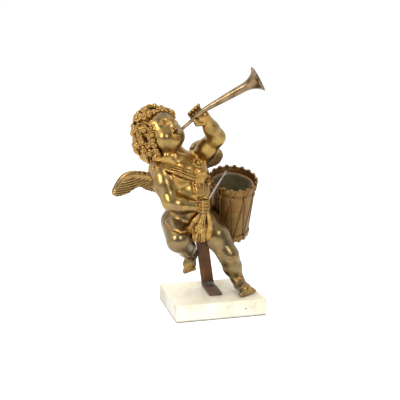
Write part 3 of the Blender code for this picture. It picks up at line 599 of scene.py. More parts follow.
def wings():
    right = wing(WING_R_EDGE, WING_R_HEM, unit((0.1, 0.3, 1)), (0.62, -0.78, 0))
    left = wing(WING_L_EDGE, WING_L_HEM, unit((0.7, 0.1, 0.7)), (0.55, 0.75, -0.35))
    return Form([right, left], melt=2.5)


print("wing masses:", sum(len(blade.masses) for blade in wings().masses))

# %% [markdown]
# ## The pinned cloth
# A scarf runs over the right shoulder and under the chin to a round brooch, from which it falls to the fist
# and on between the thighs. Every fold is a thin limb laid on the body's own front surface, found by looking
# straight at it, so the cloth always lies on what carries it. Fine pleats are a wave added to the distance.

# %% Pleats and folds
PLEAT_DEPTH = 0.42


class Pleats(Form):
    """Cloth with uneven pleats between two lines of (across, up), which run across (0) or up (1)."""

    def __init__(self, masses, first, last, count, along=0, depth=1.0):
        super().__init__(masses, melt=0.6)
        self.depth = depth
        self.lines = [sorted(line, key=lambda place: place[along]) for line in (first, last)]
        self.count, self.along = count, along

    def wave(self, points):
        """1 on the crest of a pleat and -1 between two."""
        bounds = []
        for line in self.lines:
            at = [place[self.along] for place in line]
            bounds.append(np.interp(points[:, self.along], at, [place[1 - self.along] for place in line]))
        share = (points[:, 1 - self.along] - bounds[0]) / (bounds[1] - bounds[0])
        inside = np.clip(6 * share, 0, 1) * np.clip(6 * (1 - share), 0, 1)
        return self.depth * inside * np.cos(2 * pi * self.count * (share + 0.03 * np.sin(9 * share)))

    def distance(self, points):
        return super().distance(points) - PLEAT_DEPTH * self.wave(points)


def folds(body, first, last, radii, lift, melt=0.6):
    """Folds of cloth on the body's front, spread between a first and a last line of (across, up)."""
    made = []
    for share, radius in zip(np.linspace(0, 1, len(radii)), radii):
        stops = []
        for a, b in zip(first, last):
            across, up = vec(a) + share * (vec(b) - a)
            stops.append((front_of(body, across, up, lift), radius))
        made.append(Limb(*stops, melt=melt))
    return made


trial = folds(Egg((0, 0, 0), 9), ((-2, 3), (-2, -3)), ((2, 3), (2, -3)), (1, 1, 1), 0)
print("folds laid on a trial egg:", len(trial), "and the deepest pleat is", PLEAT_DEPTH, "mm from the middle")

# %% Brooch and strap
BROOCH = (-17.5, 162)


def brooch(body):
    """A raised ring round a boss, square to the body under it."""
    middle = front_of(body, *BROOCH)
    ahead, behind = (body.distance(middle + sign * 0.5 * np.identity(3)) for sign in (1, -1))
    facing = unit(ahead - behind)
    side = np.cross((0, 1, 0), facing)
    axes = axes_of(side, np.cross(facing, side))
    middle = middle + 3.6 * facing
    ring = []
    for turn in np.linspace(0, 2 * pi, 17):
        ring.append((middle + axes.T @ vec((5.5 * cos(turn), 5.5 * sin(turn), 1.2)), 1.35))
    disc = Egg(middle, (6.6, 6.6, 1.4), axes, melt=0.5)
    boss = Egg(middle + 1.6 * facing, 2.6, melt=0.3)
    return [disc, Limb(*ring, melt=0.3), boss]


def back_strap(body):
    """The drum's strap, which the front hides: from the right shoulder down across the back."""
    near = np.linspace(-70, 30, 401)
    made = []
    for shift, radius in ((-2.4, 1.5), (0, 1.9), (2.4, 1.5)):
        stops = []
        for share in np.linspace(0, 1, 9):
            across, up = -62 + 50 * share, 170 + shift - 62 * share
            line = np.column_stack([np.full_like(near, across + shift * 0.8), np.full_like(near, up), near])
            inside = np.flatnonzero(body.distance(line) < 0)
            if len(inside):
                stops.append((line[inside[0]] - vec((0, 0, 0.6)), radius))
        made.append(Limb(*stops, melt=0.5))
    return made


print("the brooch sits at", BROOCH, "across and up")

# %% Scarf
NECK_TOP = ((-65, 176), (-54, 176.5), (-44, 176), (-34, 173), (-25, 166))
NECK_HEM = ((-66, 170), (-55, 169), (-45, 166), (-36, 162), (-25, 157))
COLLAR_TOP = ((-66, 165), (-56, 164.5), (-46, 163), (-37, 161), (-28, 157), (-20, 153))
COLLAR_HEM = ((-65.5, 162.5), (-55, 159.5), (-44, 156), (-36, 153), (-28, 149), (-19.5, 145.5))
FALL_LEFT = ((-20, 160), (-19, 154), (-18, 148), (-17.5, 143))
FALL_RIGHT = ((-9, 161), (-5.5, 155), (-4, 149), (-4, 144))
KNOT_LEFT = ((-18, 143), (-19.5, 139), (-17.5, 134), (-16, 127))
KNOT_RIGHT = ((-4, 144), (-2.5, 140), (-4.5, 135), (-5, 127))
KNOT_ROLLS = ((146.5, 144, 2.0), (142, 146.5, 2.3), (137, 139, 1.6), (132, 135, 1.4))


def scarf(body):
    masses = folds(body, NECK_TOP, NECK_HEM, (3.6, 3.8, 3.6), -0.5, 8)
    band = folds(body, COLLAR_TOP, COLLAR_HEM, (2.0, 2.0, 2.2, 2.4), 0.7, 2)
    masses.append(Pleats(band, COLLAR_TOP, COLLAR_HEM, 2.5, 0, 0.7))
    masses += folds(body, FALL_LEFT, FALL_RIGHT, (2.2, 3.4, 3.6, 3.4, 2.1), 0.2, 4)
    masses += folds(body, KNOT_LEFT, KNOT_RIGHT, (2.3, 2.0, 2.5, 2.0, 2.3), 1.2, 1.0)
    for left_up, right_up, bulge in KNOT_ROLLS:
        left, right = front_of(body, -19, left_up, 1.4), front_of(body, -3.5, right_up, 1.4)
        middle = (left + right) / 2 + vec((0.5, -0.8, 2.4))
        masses.append(Limb((left, bulge * 0.7), (middle, bulge), (right, bulge * 0.7), melt=0.8))
    return Form(masses + brooch(body) + back_strap(body), melt=0.5)


print("rolls across the knot:", len(KNOT_ROLLS))

# %% Loincloth
ROSETTE, COIL_TURN = (-14.5, 88.5, 36.6), 3.3 * pi
LOIN_LEFT = ((-15, 108), (-21, 98), (-26, 88), (-28, 71))
LOIN_RIGHT = ((-4, 108), (-2.5, 98), (-1, 86), (-1, 71))
LOIN_FOLDS = (
    (((-14, 107, 35), (-21, 98, 33.5), (-26, 88, 29.5), (-27.5, 76, 25.5)), (1.6, 2.6, 3.0, 3.0)),
    (((-9.5, 107, 35.5), (-11.5, 100, 35), (-13.5, 94, 33)), (2.2, 2.6, 2.6)),
    (((-4, 106, 32.5), (-2.5, 96, 30), (-1.5, 86, 27), (-3, 74, 22)), (1.8, 2.6, 2.8, 3.0)),
    (((-18, 82, 31), (-20.5, 78, 30), (-20.5, 72.5, 27)), (2.6, 3.2, 2.8)),
    (((-11, 82, 31), (-10, 78, 29), (-10, 72, 26)), (2.4, 3.0, 2.8)),
)


def loincloth():
    """Uneven folds that fall from the fist between the thighs, with a rosette on them."""
    masses = [
        Egg((-13.5, 86.5, 21.8), (14.2, 18.5, 9.5), melt=2),
        Limb(((-10, 106, 32), 4.5), ((-14, 97, 28), 8), melt=2),
    ]
    for places, radii in LOIN_FOLDS:
        masses.append(Limb(*zip(places, radii), melt=3.0))
    cloth = Pleats(masses, LOIN_LEFT, LOIN_RIGHT, 5.5, 1, 0.7)
    coil = []
    for turn in np.linspace(0, COIL_TURN, 18):
        reach = 0.4 + 5.2 * turn / COIL_TURN
        coil.append((vec(ROSETTE) + vec((reach * cos(turn), reach * sin(turn), 1.6 - reach * 0.2)), 1.0))
    return Form([cloth, Egg(ROSETTE, (6.4, 6.4, 1.7), melt=0.5), Limb(*coil, melt=0.3)], melt=0.6)


print("folds of the loincloth:", len(LOIN_FOLDS))

# %% [markdown]
# ## One casting
# The forms are put together as the caster would: bare body first, then arms, hair, wings and cloth.
# Creases are pressed into the skin last, and the drum and the mouthpiece leave their dents in it.
# It is one casting; its mesh is made as three closed shells, so that none of them grows too heavy.

# %% The whole figure as one form
DRUM_TOP = (28.5, 140.5, -24)
DRUM_BOTTOM = (21.5, 67.5, -57.5)
STRAP_TOP = (-12, 58, -18)


def crease(body, points, depth=1.0):
    """A thin groove along places of (across, up) on the body's front."""
    stops = [(front_of(body, across, up, 0.7), depth) for across, up in points]
    return Limb(*stops, melt=2.2)


def figure_parts():
    trunk = Form([torso(), legs(), head()], melt=3)
    bare = Form([trunk, arms()], melt=2.5)
    groin = crease(trunk, ((-58, 93), (-48, 88), (-36, 84.5), (-25, 84)), 0.9)
    hem = crease(trunk, ((-68, 161.5), (-55, 157.5), (-44, 153.5), (-33, 149), (-22.5, 143), (-21, 131)), 1.2)
    knee = crease(trunk, ((11, 51), (18, 47), (24, 44)), 0.5)
    ankle = crease(trunk, ((26, 20), (32, 18.5), (38, 19.5)), 0.5)
    skin = Form([bare], [groin, hem, knee, ankle], melt=2)
    return {"skin": skin, "hair": hair(), "wings": wings(), "scarf": scarf(trunk), "loincloth": loincloth()}


PARTS = figure_parts()
DRUM_DENT = Limb((DRUM_BOTTOM, 29.7), (DRUM_TOP, 31.7), melt=0.3)
MOUTH_DENT = Egg(MOUTH, 3.1, melt=0.3)
FIGURE = Form(list(PARTS.values()), [DRUM_DENT, MOUTH_DENT], melt=1)
BODY = Form([PARTS[name] for name in ("skin", "scarf", "loincloth")], [DRUM_DENT, MOUTH_DENT], melt=1)
SHELLS = {"cupid": BODY, "cupid_hair": PARTS["hair"], "cupid_wings": PARTS["wings"]}
CARVED = [mass for name in ("hair", "wings", "scarf") for mass in PARTS[name].masses if hasattr(mass, "wave")]
CARVED.append(PARTS["loincloth"].masses[0])
print("masses in all:", len(FIGURE.rough()), "balls")

# %% [markdown]
# ## From wax to mesh
# The masses of each shell are first laid down as rough balls in one bmesh and fused by a voxel Remesh.
# Then each vertex is slid along the slope of the distance until it lies on the true surface.
# Where there is fine carving, the faces are cut in four and slid again, twice on the pleated band.

# %% Helpers that slide vertices onto a form
def slope_of(form, points, step=0.02):
    here = form.distance(points)
    slope = np.empty_like(points)
    for axis in range(3):
        ahead = points.copy()
        ahead[:, axis] += step
        slope[:, axis] = (form.distance(ahead) - here) / step
    return here, slope


def settle(form, points, rounds):
    for _ in range(rounds):
        here, slope = slope_of(form, points)
        steep = np.maximum((slope**2).sum(axis=1), 0.3)
        points = points - slope * (np.clip(here, -1, 1) / steep)[:, None]
    return points


def co_of(mesh):
    points = np.empty(len(mesh.vertices) * 3)
    mesh.vertices.foreach_get("co", points)
    return points.reshape(-1, 3)


def set_co(mesh, points):
    mesh.vertices.foreach_set("co", np.ascontiguousarray(points).ravel())
    mesh.update()


print("settle slides vertices by at most 1 mm a round")

# %% Rough balls, remeshed
VOXEL = 1.3


def fused(form):
    """The form's rough balls, joined and voxel remeshed into one closed mesh."""
    ball = bmesh.new()
    bmesh.ops.create_uvsphere(ball, u_segments=12, v_segments=8, radius=1)
    unit_ball = bpy.data.meshes.new("unit_ball")
    ball.to_mesh(unit_ball)
    ball.free()
    bm = bmesh.new()
    for matrix in form.rough():
        lump = unit_ball.copy()
        lump.transform(matrix)
        bm.from_mesh(lump)
        bpy.data.meshes.remove(lump)
    rough = bpy.data.meshes.new("rough")
    bm.to_mesh(rough)
    bm.free()
    holder = bpy.data.objects.new("rough", rough)
    bpy.context.scene.collection.objects.link(holder)
    remesh = holder.modifiers.new("skin", "REMESH")
    remesh.mode = "VOXEL"
    remesh.voxel_size = VOXEL
    graph = bpy.context.evaluated_depsgraph_get()
    made = bpy.data.meshes.new_from_object(holder.evaluated_get(graph))
    bpy.data.objects.remove(holder)
    return made


MESHES = {name: fused(form) for name, form in SHELLS.items()}
for name, mesh in MESHES.items():
    set_co(mesh, settle(SHELLS[name], co_of(mesh), 2))
    print(name, "has", len(mesh.polygons), "faces after the remesh")

# %% Finer faces where the carving is
FINE = [
    (on_head(19, -3, 0), 19), (HAND_L, 17), ((-9, 117, 38), 15), ((43, 6, 15), 15), ((-27, 26, -14), 12),
    ((-20, 163, 12), 14), ((-40, 162, 18), 24), ((-12, 145, 18), 18), ((-13, 88, 28), 24),
]
ON_COLLAR, UNDER_SKIN = 1.2, -0.5


def near_carving(points):
    wanted = np.zeros(len(points), bool)
    for centre, radius in FINE:
        wanted |= ((points - vec(centre)) ** 2).sum(axis=1) < radius**2
    return wanted


def refine(mesh, form, wanted):
    """Cuts the wanted faces in four and slides the new vertices onto the form."""
    bm = bmesh.new()
    bm.from_mesh(mesh)
    bm.verts.ensure_lookup_table()
    edges = [edge for edge in bm.edges if wanted[edge.verts[0].index] and wanted[edge.verts[1].index]]
    bmesh.ops.subdivide_edges(bm, edges=edges, cuts=1, use_grid_fill=True)
    bm.to_mesh(mesh)
    bm.free()
    set_co(mesh, settle(form, co_of(mesh), 2))
    mesh.calc_loop_triangles()
    return len(mesh.loop_triangles)


refine(MESHES["cupid"], BODY, near_carving(co_of(MESHES["cupid"])))
collar = next(mass for mass in PARTS["scarf"].masses if hasattr(mass, "wave"))
for name, mesh in MESHES.items():
    points = co_of(mesh)
    if name == "cupid":
        wanted = (np.abs(collar.wave(points)) > 0.02) & (collar.distance(points) < ON_COLLAR)
    else:
        wanted = BODY.distance(points) > UNDER_SKIN
    print(name, "has", refine(mesh, SHELLS[name], wanted), "triangles")

# %% [markdown]
# ## What the patina, the painted shade and the painted highlights follow
# On the real casting the gilding is worn to olive where hands polish it and stays warm in the hollows.
# Five attributes carry that to the material: how hollow a place is, whether it is gilt cloth or hair, or a
# coppery wing, where shade and grey reflections are painted dark, and whether it is a crest or a furrow of
# the carving.
# Baked occlusion would need rays; the distance itself says how open a place is, by a look outwards.

# %% Attributes on the figure
def smoothstep(low, high, values):
    share = np.clip((values - low) / (high - low), 0, 1)
    return share * share * (3 - 2 * share)


def write(mesh, name, values):
    layer = mesh.attributes.new(name, "FLOAT", "POINT")
    layer.data.foreach_set("value", np.ascontiguousarray(values, np.float32))


def near_places(points, places, inner):
    """1 near each place, falling from an inner share of its radius to 0 at the radius."""
    made = np.zeros(len(points))
    for centre, radius in places:
        away = np.linalg.norm(points - vec(centre), axis=1)
        made = np.maximum(made, 1 - smoothstep(inner * radius, radius, away))
    return made


def strands(points):
    """The wave of the curl or blade that a point lies on, from -1 between two strands to 1 on a crest."""
    nearest, wave = np.full(len(points), 2.0), np.zeros(len(points))
    for mass in CARVED:
        near = close_to(mass, points)
        away = mass.distance(points[near])
        near, away = near[away < nearest[near]], away[away < nearest[near]]
        nearest[near], wave[near] = away, mass.wave(points[near])
    return wave


print("carved masses:", len(CARVED))

# %% Painted shade spots and gilt spots on the figure
# Spots of painted shade and painted grey reflection on the skin: forehead, near temple, under the forearm,
# right leg, right shoulder
SHADE_SPOTS = (
    (on_head(19, 15, -7), 14), (on_head(5, 12, -22), 10), ((-40, 106, 30), 16), ((-28, 54, 0), 12),
    ((-62, 172, 18), 10),
)
GILT_SPOTS = (
    ((-46, 142, 24), 13), (HAND_L, 18), ((-9, 117, 40), 10), ((45, 5, 17), 12), ((-27, 26, -12), 10),
    ((-30, 175, 10), 14),
)
LOOKS = ((0.9, 0.3), (2.2, 0.35), (5.0, 0.35))


def mark_figure(mesh, own):
    """Writes the attributes of a mesh that lies on its own form, and returns its outward directions."""
    points = co_of(mesh)
    _, slope = slope_of(own, points)
    outward = slope / np.maximum(np.linalg.norm(slope, axis=1), 1e-6)[:, None]
    shut = np.zeros(len(points))
    for reach, weight in LOOKS:
        open_way = np.clip(FIGURE.distance(points + outward * reach) / reach, 0, 1)
        shut += weight * (1 - open_way)
    write(mesh, "hollow", shut)
    cloth = np.zeros(len(points))
    for name in ("hair", "scarf", "loincloth"):
        cloth = np.maximum(cloth, 1 - smoothstep(0.1, 0.9, PARTS[name].distance(points)))
    write(mesh, "gilt", np.maximum(cloth, 0.75 * near_places(points, GILT_SPOTS, 0.6)))
    write(mesh, "copper", 1 - smoothstep(0.1, 1.2, PARTS["wings"].distance(points)))
    # where shade and grey reflections are painted dark on the skin
    write(mesh, "painted_shade", near_places(points, SHADE_SPOTS, 0.4))
    write(mesh, "strand", strands(points))
    return outward


NORMALS = {name: mark_figure(mesh, SHELLS[name]) for name, mesh in MESHES.items()}
hollows = [entry.value for entry in MESHES["cupid"].attributes["hollow"].data]
print("mean hollow:", round(float(np.mean(hollows)), 3))

# %% The figure as pieces in the shared frame
TO_WORLD = Matrix.Translation(spot((0, 0, 0))) @ (Matrix((ACROSS, UP, NEAR)).transposed() * UNIT).to_4x4()
SOLE_GAP = 0.3


def keep(name, mesh, node):
    """A finished piece of the object, in place of the packed node of that name."""
    made = bpy.data.objects.new(name, mesh)
    bpy.context.scene.collection.objects.link(made)
    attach(made, "root")
    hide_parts(node)
    return made


def cast(name, mesh, normals):
    """A finished piece of the figure, moved from the front view into the shared frame."""
    points = co_of(mesh)
    points[:, 1] = np.maximum(points[:, 1], SOLE_GAP)
    set_co(mesh, points)
    mesh.transform(TO_WORLD)
    mesh.shade_smooth()
    mesh.normals_split_custom_set_from_vertices((normals @ vec([ACROSS, UP, NEAR])).tolist())
    return keep(name, mesh, "cupid_figure")


FIGURE_PIECES = [cast(name, mesh, NORMALS[name]) for name, mesh in MESHES.items()]
print("pieces of the figure:", [piece.name for piece in FIGURE_PIECES])

# %% [markdown]
# ## The trumpet
# A thin tube with a ball for the lips, a bend where the hand grips it, and a bell with a rolled lip.
# One ring of points is extruded from station to station and scaled to each radius, outside and then back
# inside, so that the bell is one closed skin with a true wall. A bevelled curve could not turn back inside.

# %% A skin drawn through rings
def ring_places(path):
    """A matrix for each station, given as (place, direction, radius), turned as little as possible."""
    heading = Vector((0, 0, 1))
    turn = Matrix.Identity(3)
    places = []
    for place, direction, radius in path:
        turn = heading.rotation_difference(direction).to_matrix() @ turn
        heading = direction
        size = Matrix.Scale(max(radius, 1e-5), 4)
        places.append(Matrix.Translation(place) @ turn.to_4x4() @ size)
    return places


def drawn(path, sides):
    """A closed skin from the first station to the last, with both ends filled."""
    places = ring_places(path)
    bm = bmesh.new()
    first = bmesh.ops.create_circle(bm, cap_ends=True, segments=sides, radius=1, matrix=places[0])
    ring = list({edge for vert in first["verts"] for edge in vert.link_edges})
    for before, after in zip(places, places[1:]):
        grown = bmesh.ops.extrude_edge_only(bm, edges=ring)["geom"]
        verts = [part for part in grown if isinstance(part, bmesh.types.BMVert)]
        ring = [part for part in grown if isinstance(part, bmesh.types.BMEdge)]
        bmesh.ops.transform(bm, matrix=after @ before.inverted(), verts=verts)
    bmesh.ops.edgeloop_fill(bm, edges=ring)
    bmesh.ops.recalc_face_normals(bm, faces=bm.faces)
    return bm


def to_mesh(bm, name):
    mesh = bpy.data.meshes.new(name)
    bm.to_mesh(mesh)
    bm.free()
    mesh.shade_smooth()
    return mesh


print("a skin is drawn through rings, first the outside and then the inside")

# %% Trumpet
BELL_END = (52.5, 265, 48)
TUBE_THIN, TUBE_HAND, TUBE_WAIST = 0.0021, 0.0033, 0.0050
BELL_RADIUS, BELL_LENGTH, BELL_WALL = 0.0143, 0.026, 0.0009


def bell_radius(share):
    return TUBE_WAIST + (BELL_RADIUS - TUBE_WAIST) * share**3.2


def tube_stations():
    """Stations from the ball at the lips to the throat of the bell's inside."""
    mouth, bend, end = spot(MOUTH), spot(TUBE_BEND), spot(BELL_END)
    into, out = (bend - mouth).normalized(), (end - bend).normalized()
    path = []
    for turn in steps(0.12 * pi, 0.80 * pi, 9):
        path.append((mouth - into * 0.0029 * cos(turn), into, 0.0029 * sin(turn)))
    for share in steps(0, 1, 8):
        place = mouth + into * 0.004 + share * (bend - into * 0.011 - mouth)
        path.append((place, into, TUBE_THIN * (0.92 + 0.2 * share)))
    corner = bend - into * 0.007
    far = bend + out * 0.007
    for share in steps(0.1, 0.9, 7):
        place = (1 - share) ** 2 * corner + 2 * share * (1 - share) * bend + share**2 * far
        heading = (into * (1 - share) + out * share).normalized()
        path.append((place, heading, TUBE_THIN * 1.15 + (TUBE_HAND - TUBE_THIN * 1.15) * share))
    throat = end - out * BELL_LENGTH
    for share in steps(0, 1, 12):
        place = far + share * (throat - far)
        path.append((place, out, TUBE_HAND + (TUBE_WAIST - TUBE_HAND) * share**0.9))
    for share in steps(0.08, 1, 16):
        path.append((end - out * BELL_LENGTH * (1 - share), out, bell_radius(share)))
    for back, wide in ((0.0, 0.5), (0.4, 0.75), (0.9, 0.6), (1.2, 0.1), (1.1, -0.6), (0.6, -1.1)):
        path.append((end + out * back * 0.001, out, BELL_RADIUS + wide * 0.001))
    for share in steps(0.94, 0, 12):
        path.append((end - out * BELL_LENGTH * (1 - share), out, bell_radius(share) - BELL_WALL))
    path.append((end - out * 0.040, out, TUBE_WAIST - BELL_WALL - 0.0006))
    return path


def trumpet():
    bm = drawn(tube_stations(), 48)
    end, bend = spot(BELL_END), spot(TUBE_BEND)
    out = (end - bend).normalized()
    high = (UP - out * UP.dot(out)).normalized()
    for vert in bm.verts:
        away = vert.co - end
        rim = max(0, 1 - abs(away.dot(out)) / 0.005)
        top = max(0, away.normalized().dot(high) - 0.93) / 0.07
        vert.co += (high * 0.0016 - out * 0.0012) * rim * min(top, 1)
    return to_mesh(bm, "horn")


horn = keep("horn", trumpet(), "trumpet")
print("trumpet vertices:", len(horn.data.vertices))

# %% [markdown]
# ## The drumstick
# A plain rod with an acorn at its tip, drawn through rings in the same way.

# %% Drumstick
STICK_BUTT = (-15, 106, 37)
STICK_TIP = (18, 158.5, 29)
STICK_RADIUS, ACORN_RADIUS, ACORN_LENGTH = 0.0011, 0.0023, 0.0075


def stick_stations():
    butt, tip = spot(STICK_BUTT), spot(STICK_TIP)
    axis = (tip - butt).normalized()
    neck = tip - axis * ACORN_LENGTH
    path = [(butt + axis * (0.0004 - 0.0004 * cos(turn)), axis, STICK_RADIUS * 1.25 * sin(turn))
            for turn in steps(0.15 * pi, 0.5 * pi, 4)]
    for share in steps(0.03, 1, 10):
        path.append((butt + share * (neck - butt), axis, STICK_RADIUS * (1.25 - 0.25 * share)))
    for share in steps(0.06, 0.97, 12):
        radius = max(ACORN_RADIUS * sin(pi * share**0.8), STICK_RADIUS * (share < 0.5))
        path.append((neck + axis * ACORN_LENGTH * share, axis, radius))
    return path


stick = keep("drum_stick", to_mesh(drawn(stick_stations(), 20), "drum_stick"), "drumstick")
print("stick vertices:", len(stick.data.vertices))

# %% [markdown]
# ## The drum
# An open bucket with a hoop at each end. Its profile is spun round the axis, out and back inside, so the wall
# is real. Notched tabs, leather tugs and the laced rope are small shapes laid on it, as on the casting.

# %% Drum shell
DRUM_HEIGHT = 0.081
DRUM_TOP_RADIUS, DRUM_BOTTOM_RADIUS = 0.0298, 0.0278
HOOP_HEIGHT, HOOP_PROUD, HOOP_WALL = 0.0085, 0.0014, 0.0030
DRUM_WALL, DRUM_FLOOR = 0.0040, 0.0035


def drum_radius(height):
    return DRUM_BOTTOM_RADIUS + (DRUM_TOP_RADIUS - DRUM_BOTTOM_RADIUS) * height / DRUM_HEIGHT


def drum_profile():
    """(radius, height) from the middle of the underside, up the outside, and down inside to the floor."""
    top, ledge = DRUM_HEIGHT, DRUM_HEIGHT - HOOP_HEIGHT
    low, high = drum_radius(0) + HOOP_PROUD, drum_radius(top) + HOOP_PROUD
    outside = [(0, 0), (low - 0.0010, 0), (low - 0.0003, 0.0003), (low, 0.0012), (low, HOOP_HEIGHT - 0.0010)]
    outside += [(low - 0.0004, HOOP_HEIGHT - 0.0003), (drum_radius(HOOP_HEIGHT), HOOP_HEIGHT + 0.0004)]
    outside += [(drum_radius(height), height) for height in steps(HOOP_HEIGHT + 0.003, ledge - 0.003, 9)]
    outside += [(drum_radius(ledge), ledge - 0.0004), (high - 0.0004, ledge + 0.0003), (high, ledge + 0.0010)]
    rim = [(high, top - 0.0010), (high - 0.0004, top - 0.0002), (high - HOOP_WALL + 0.0004, top - 0.0002)]
    rim += [(high - HOOP_WALL, top - 0.0010), (high - HOOP_WALL - 0.0002, ledge + 0.0016)]
    step = drum_radius(ledge) - DRUM_WALL
    lip = (high - HOOP_WALL - 0.0004, ledge + 0.0009)
    inside = [lip, (step + 0.0006, ledge + 0.0006), (step, ledge - 0.0002)]
    inside += [(drum_radius(height) - DRUM_WALL, height) for height in steps(ledge - 0.003, 0.008, 7)]
    floor = drum_radius(0) - DRUM_WALL
    inside += [(floor - 0.0005, DRUM_FLOOR + 0.0015), (floor - 0.002, DRUM_FLOOR), (0, DRUM_FLOOR)]
    return outside + rim + inside


def spun(profile, count):
    """The profile, closed on the axis, spun a full turn round Z."""
    bm = bmesh.new()
    line = [bm.verts.new((radius, 0, height)) for radius, height in profile]
    edges = [bm.edges.new(pair) for pair in zip(line, line[1:])]
    bmesh.ops.spin(
        bm, geom=line + edges, axis=(0, 0, 1), cent=(0, 0, 0), steps=count, angle=2 * pi, use_merge=True
    )
    bmesh.ops.remove_doubles(bm, verts=bm.verts, dist=1e-6)
    bmesh.ops.recalc_face_normals(bm, faces=bm.faces)
    return bm


shell = spun(drum_profile(), 96)
print("drum shell faces:", len(shell.faces))

# %% Tabs, tugs and the laced rope
TAB_COUNT, TAB_HEIGHT, TAB_WIDTH = 18, 0.0022, 0.0048
TUG_COUNT, TUG_TURN = 11, radians(-90)
TUG_LENGTH, TUG_WIDTH, ROPE_RADIUS = 0.0065, 0.0052, 0.0008
NECK_TURN, FOOT_TURN, RIM_TURN, ROPE_DROP = 0.012, 0.035, 0.085, 0.006


def block(size, place, round_off):
    """A small block with rounded edges."""
    bm = bmesh.new()
    bmesh.ops.create_cube(bm, size=1, matrix=Matrix.Diagonal((*size, 1)))
    bmesh.ops.bevel(
        bm, geom=bm.edges[:], offset=round_off, segments=2, profile=0.5, affect="EDGES", material=-1
    )
    bmesh.ops.transform(bm, matrix=place, verts=bm.verts)
    return bm


def on_drum(turn, height, proud):
    radius = drum_radius(height) + proud
    return Vector((radius * cos(turn), radius * sin(turn), height))


def strand(start, end, proud):
    """A length of rope that follows the drum's side from one (turn, height) to another."""
    places = []
    for share in steps(0, 1, 9):
        turn, height = (a + share * (b - a) for a, b in zip(start, end))
        places.append(on_drum(turn, height, proud))
    ways = [(b - a).normalized() for a, b in zip(places, places[1:])]
    path = [(place, way, ROPE_RADIUS) for place, way in zip(places, ways + ways[-1:])]
    return drawn(path, 8)


def lacing():
    """Every strand: close together from the rim to the tug, then apart to the bottom hoop."""
    made = []
    step = 2 * pi / TUG_COUNT
    high, low = DRUM_HEIGHT - HOOP_HEIGHT, HOOP_HEIGHT
    for index in range(TUG_COUNT):
        turn = TUG_TURN + index * step
        for side in (-1, 1):
            neck = turn + side * NECK_TURN
            foot = turn + side * (step / 2 - FOOT_TURN)
            rim = (turn + side * RIM_TURN, high)
            made.append(strand(rim, (neck, high - 0.0035), 0.0002))
            made.append(strand((neck, high - ROPE_DROP), (foot, low), 0.0))
            made.append(strand((turn + side * 0.10, DRUM_HEIGHT - 0.001), rim, 0.0014))
            made.append(strand((foot, low), (foot + side * 0.01, 0.001), 0.0013))
        middle = high - 0.0015 - TUG_LENGTH / 2
        place = Matrix.Rotation(turn, 4, "Z") @ Matrix.Translation((drum_radius(middle) + 0.0005, 0, middle))
        made.append(block((0.0028, TUG_WIDTH, TUG_LENGTH), place, 0.0011))
    return made


def tabs():
    made = []
    for index in range(TAB_COUNT):
        turn = Matrix.Rotation(2 * pi * (index + 0.35) / TAB_COUNT, 4, "Z")
        for height in (DRUM_HEIGHT - 0.0002, 0.0002):
            radius = drum_radius(height) + HOOP_PROUD - HOOP_WALL / 2
            size = (HOOP_WALL * 1.12, TAB_WIDTH, TAB_HEIGHT * 2)
            made.append(block(size, turn @ Matrix.Translation((radius, 0, height)), 0.0006))
    return made


print("tabs:", 2 * TAB_COUNT, "tugs:", TUG_COUNT)

# %% Drum in its place
def joined(shapes, name):
    """Several small bmeshes as one mesh."""
    whole = bmesh.new()
    part = bpy.data.meshes.new("part")
    for shape in shapes:
        shape.to_mesh(part)
        shape.free()
        whole.from_mesh(part)
    bpy.data.meshes.remove(part)
    return to_mesh(whole, name)


def drum_place():
    """Stands the drum on its lower centre, leaning towards its mouth."""
    bottom, top = spot(DRUM_BOTTOM), spot(DRUM_TOP)
    axis = (top - bottom).normalized()
    side = axis.cross(NEAR).normalized()
    turn = Matrix((side, -side.cross(axis), axis)).transposed()
    return Matrix.Translation(bottom) @ turn.to_4x4()


drum_mesh = joined([shell, *tabs(), *lacing()], "drum_bucket")
drum_mesh.transform(drum_place())
drum_mesh.set_sharp_from_angle(angle=radians(50))
drum = keep("drum_bucket", drum_mesh, "drum")
print("drum faces:", len(drum_mesh.polygons))

# %% [markdown]
# ## The bracket, its screw and the rivet
# A flat bar bent to an L by hand, so its edges are soft and it leans a little. Its outline is drawn from the
# side and extruded across, and a bevel takes the sharpness off. The screw and the rivet are spun.

# %% Bracket
STRAP_WIDTH, STRAP_THICKNESS, STRAP_HEIGHT = 0.016, 0.0035, 0.070
STRAP_FOOT, STRAP_BEND = 0.049, 0.005
FIT_GAP = 0.0003
STRAP_FOOT_BACK = (-4.5, 0, -27)
STRAP_FOOT_FRONT = (5.5, 0, 20.5)


def strap_place():
    """The bracket's own frame: X along its width, Y towards the back of its foot, Z up, at the bend."""
    back, front = spot(STRAP_FOOT_BACK), spot(STRAP_FOOT_FRONT)
    toward = (front - back).normalized()
    side = toward.cross(UP).normalized()
    turn = Matrix((-side, -toward, UP)).transposed()
    return Matrix.Translation(back + FIT_GAP * UP) @ turn.to_4x4()


def lean():
    """How far the strap leans across and back for each metre that it rises."""
    way = strap_place().to_3x3().inverted() @ (spot(STRAP_TOP) - spot(STRAP_FOOT_BACK))
    return way.x / way.z, way.y / way.z


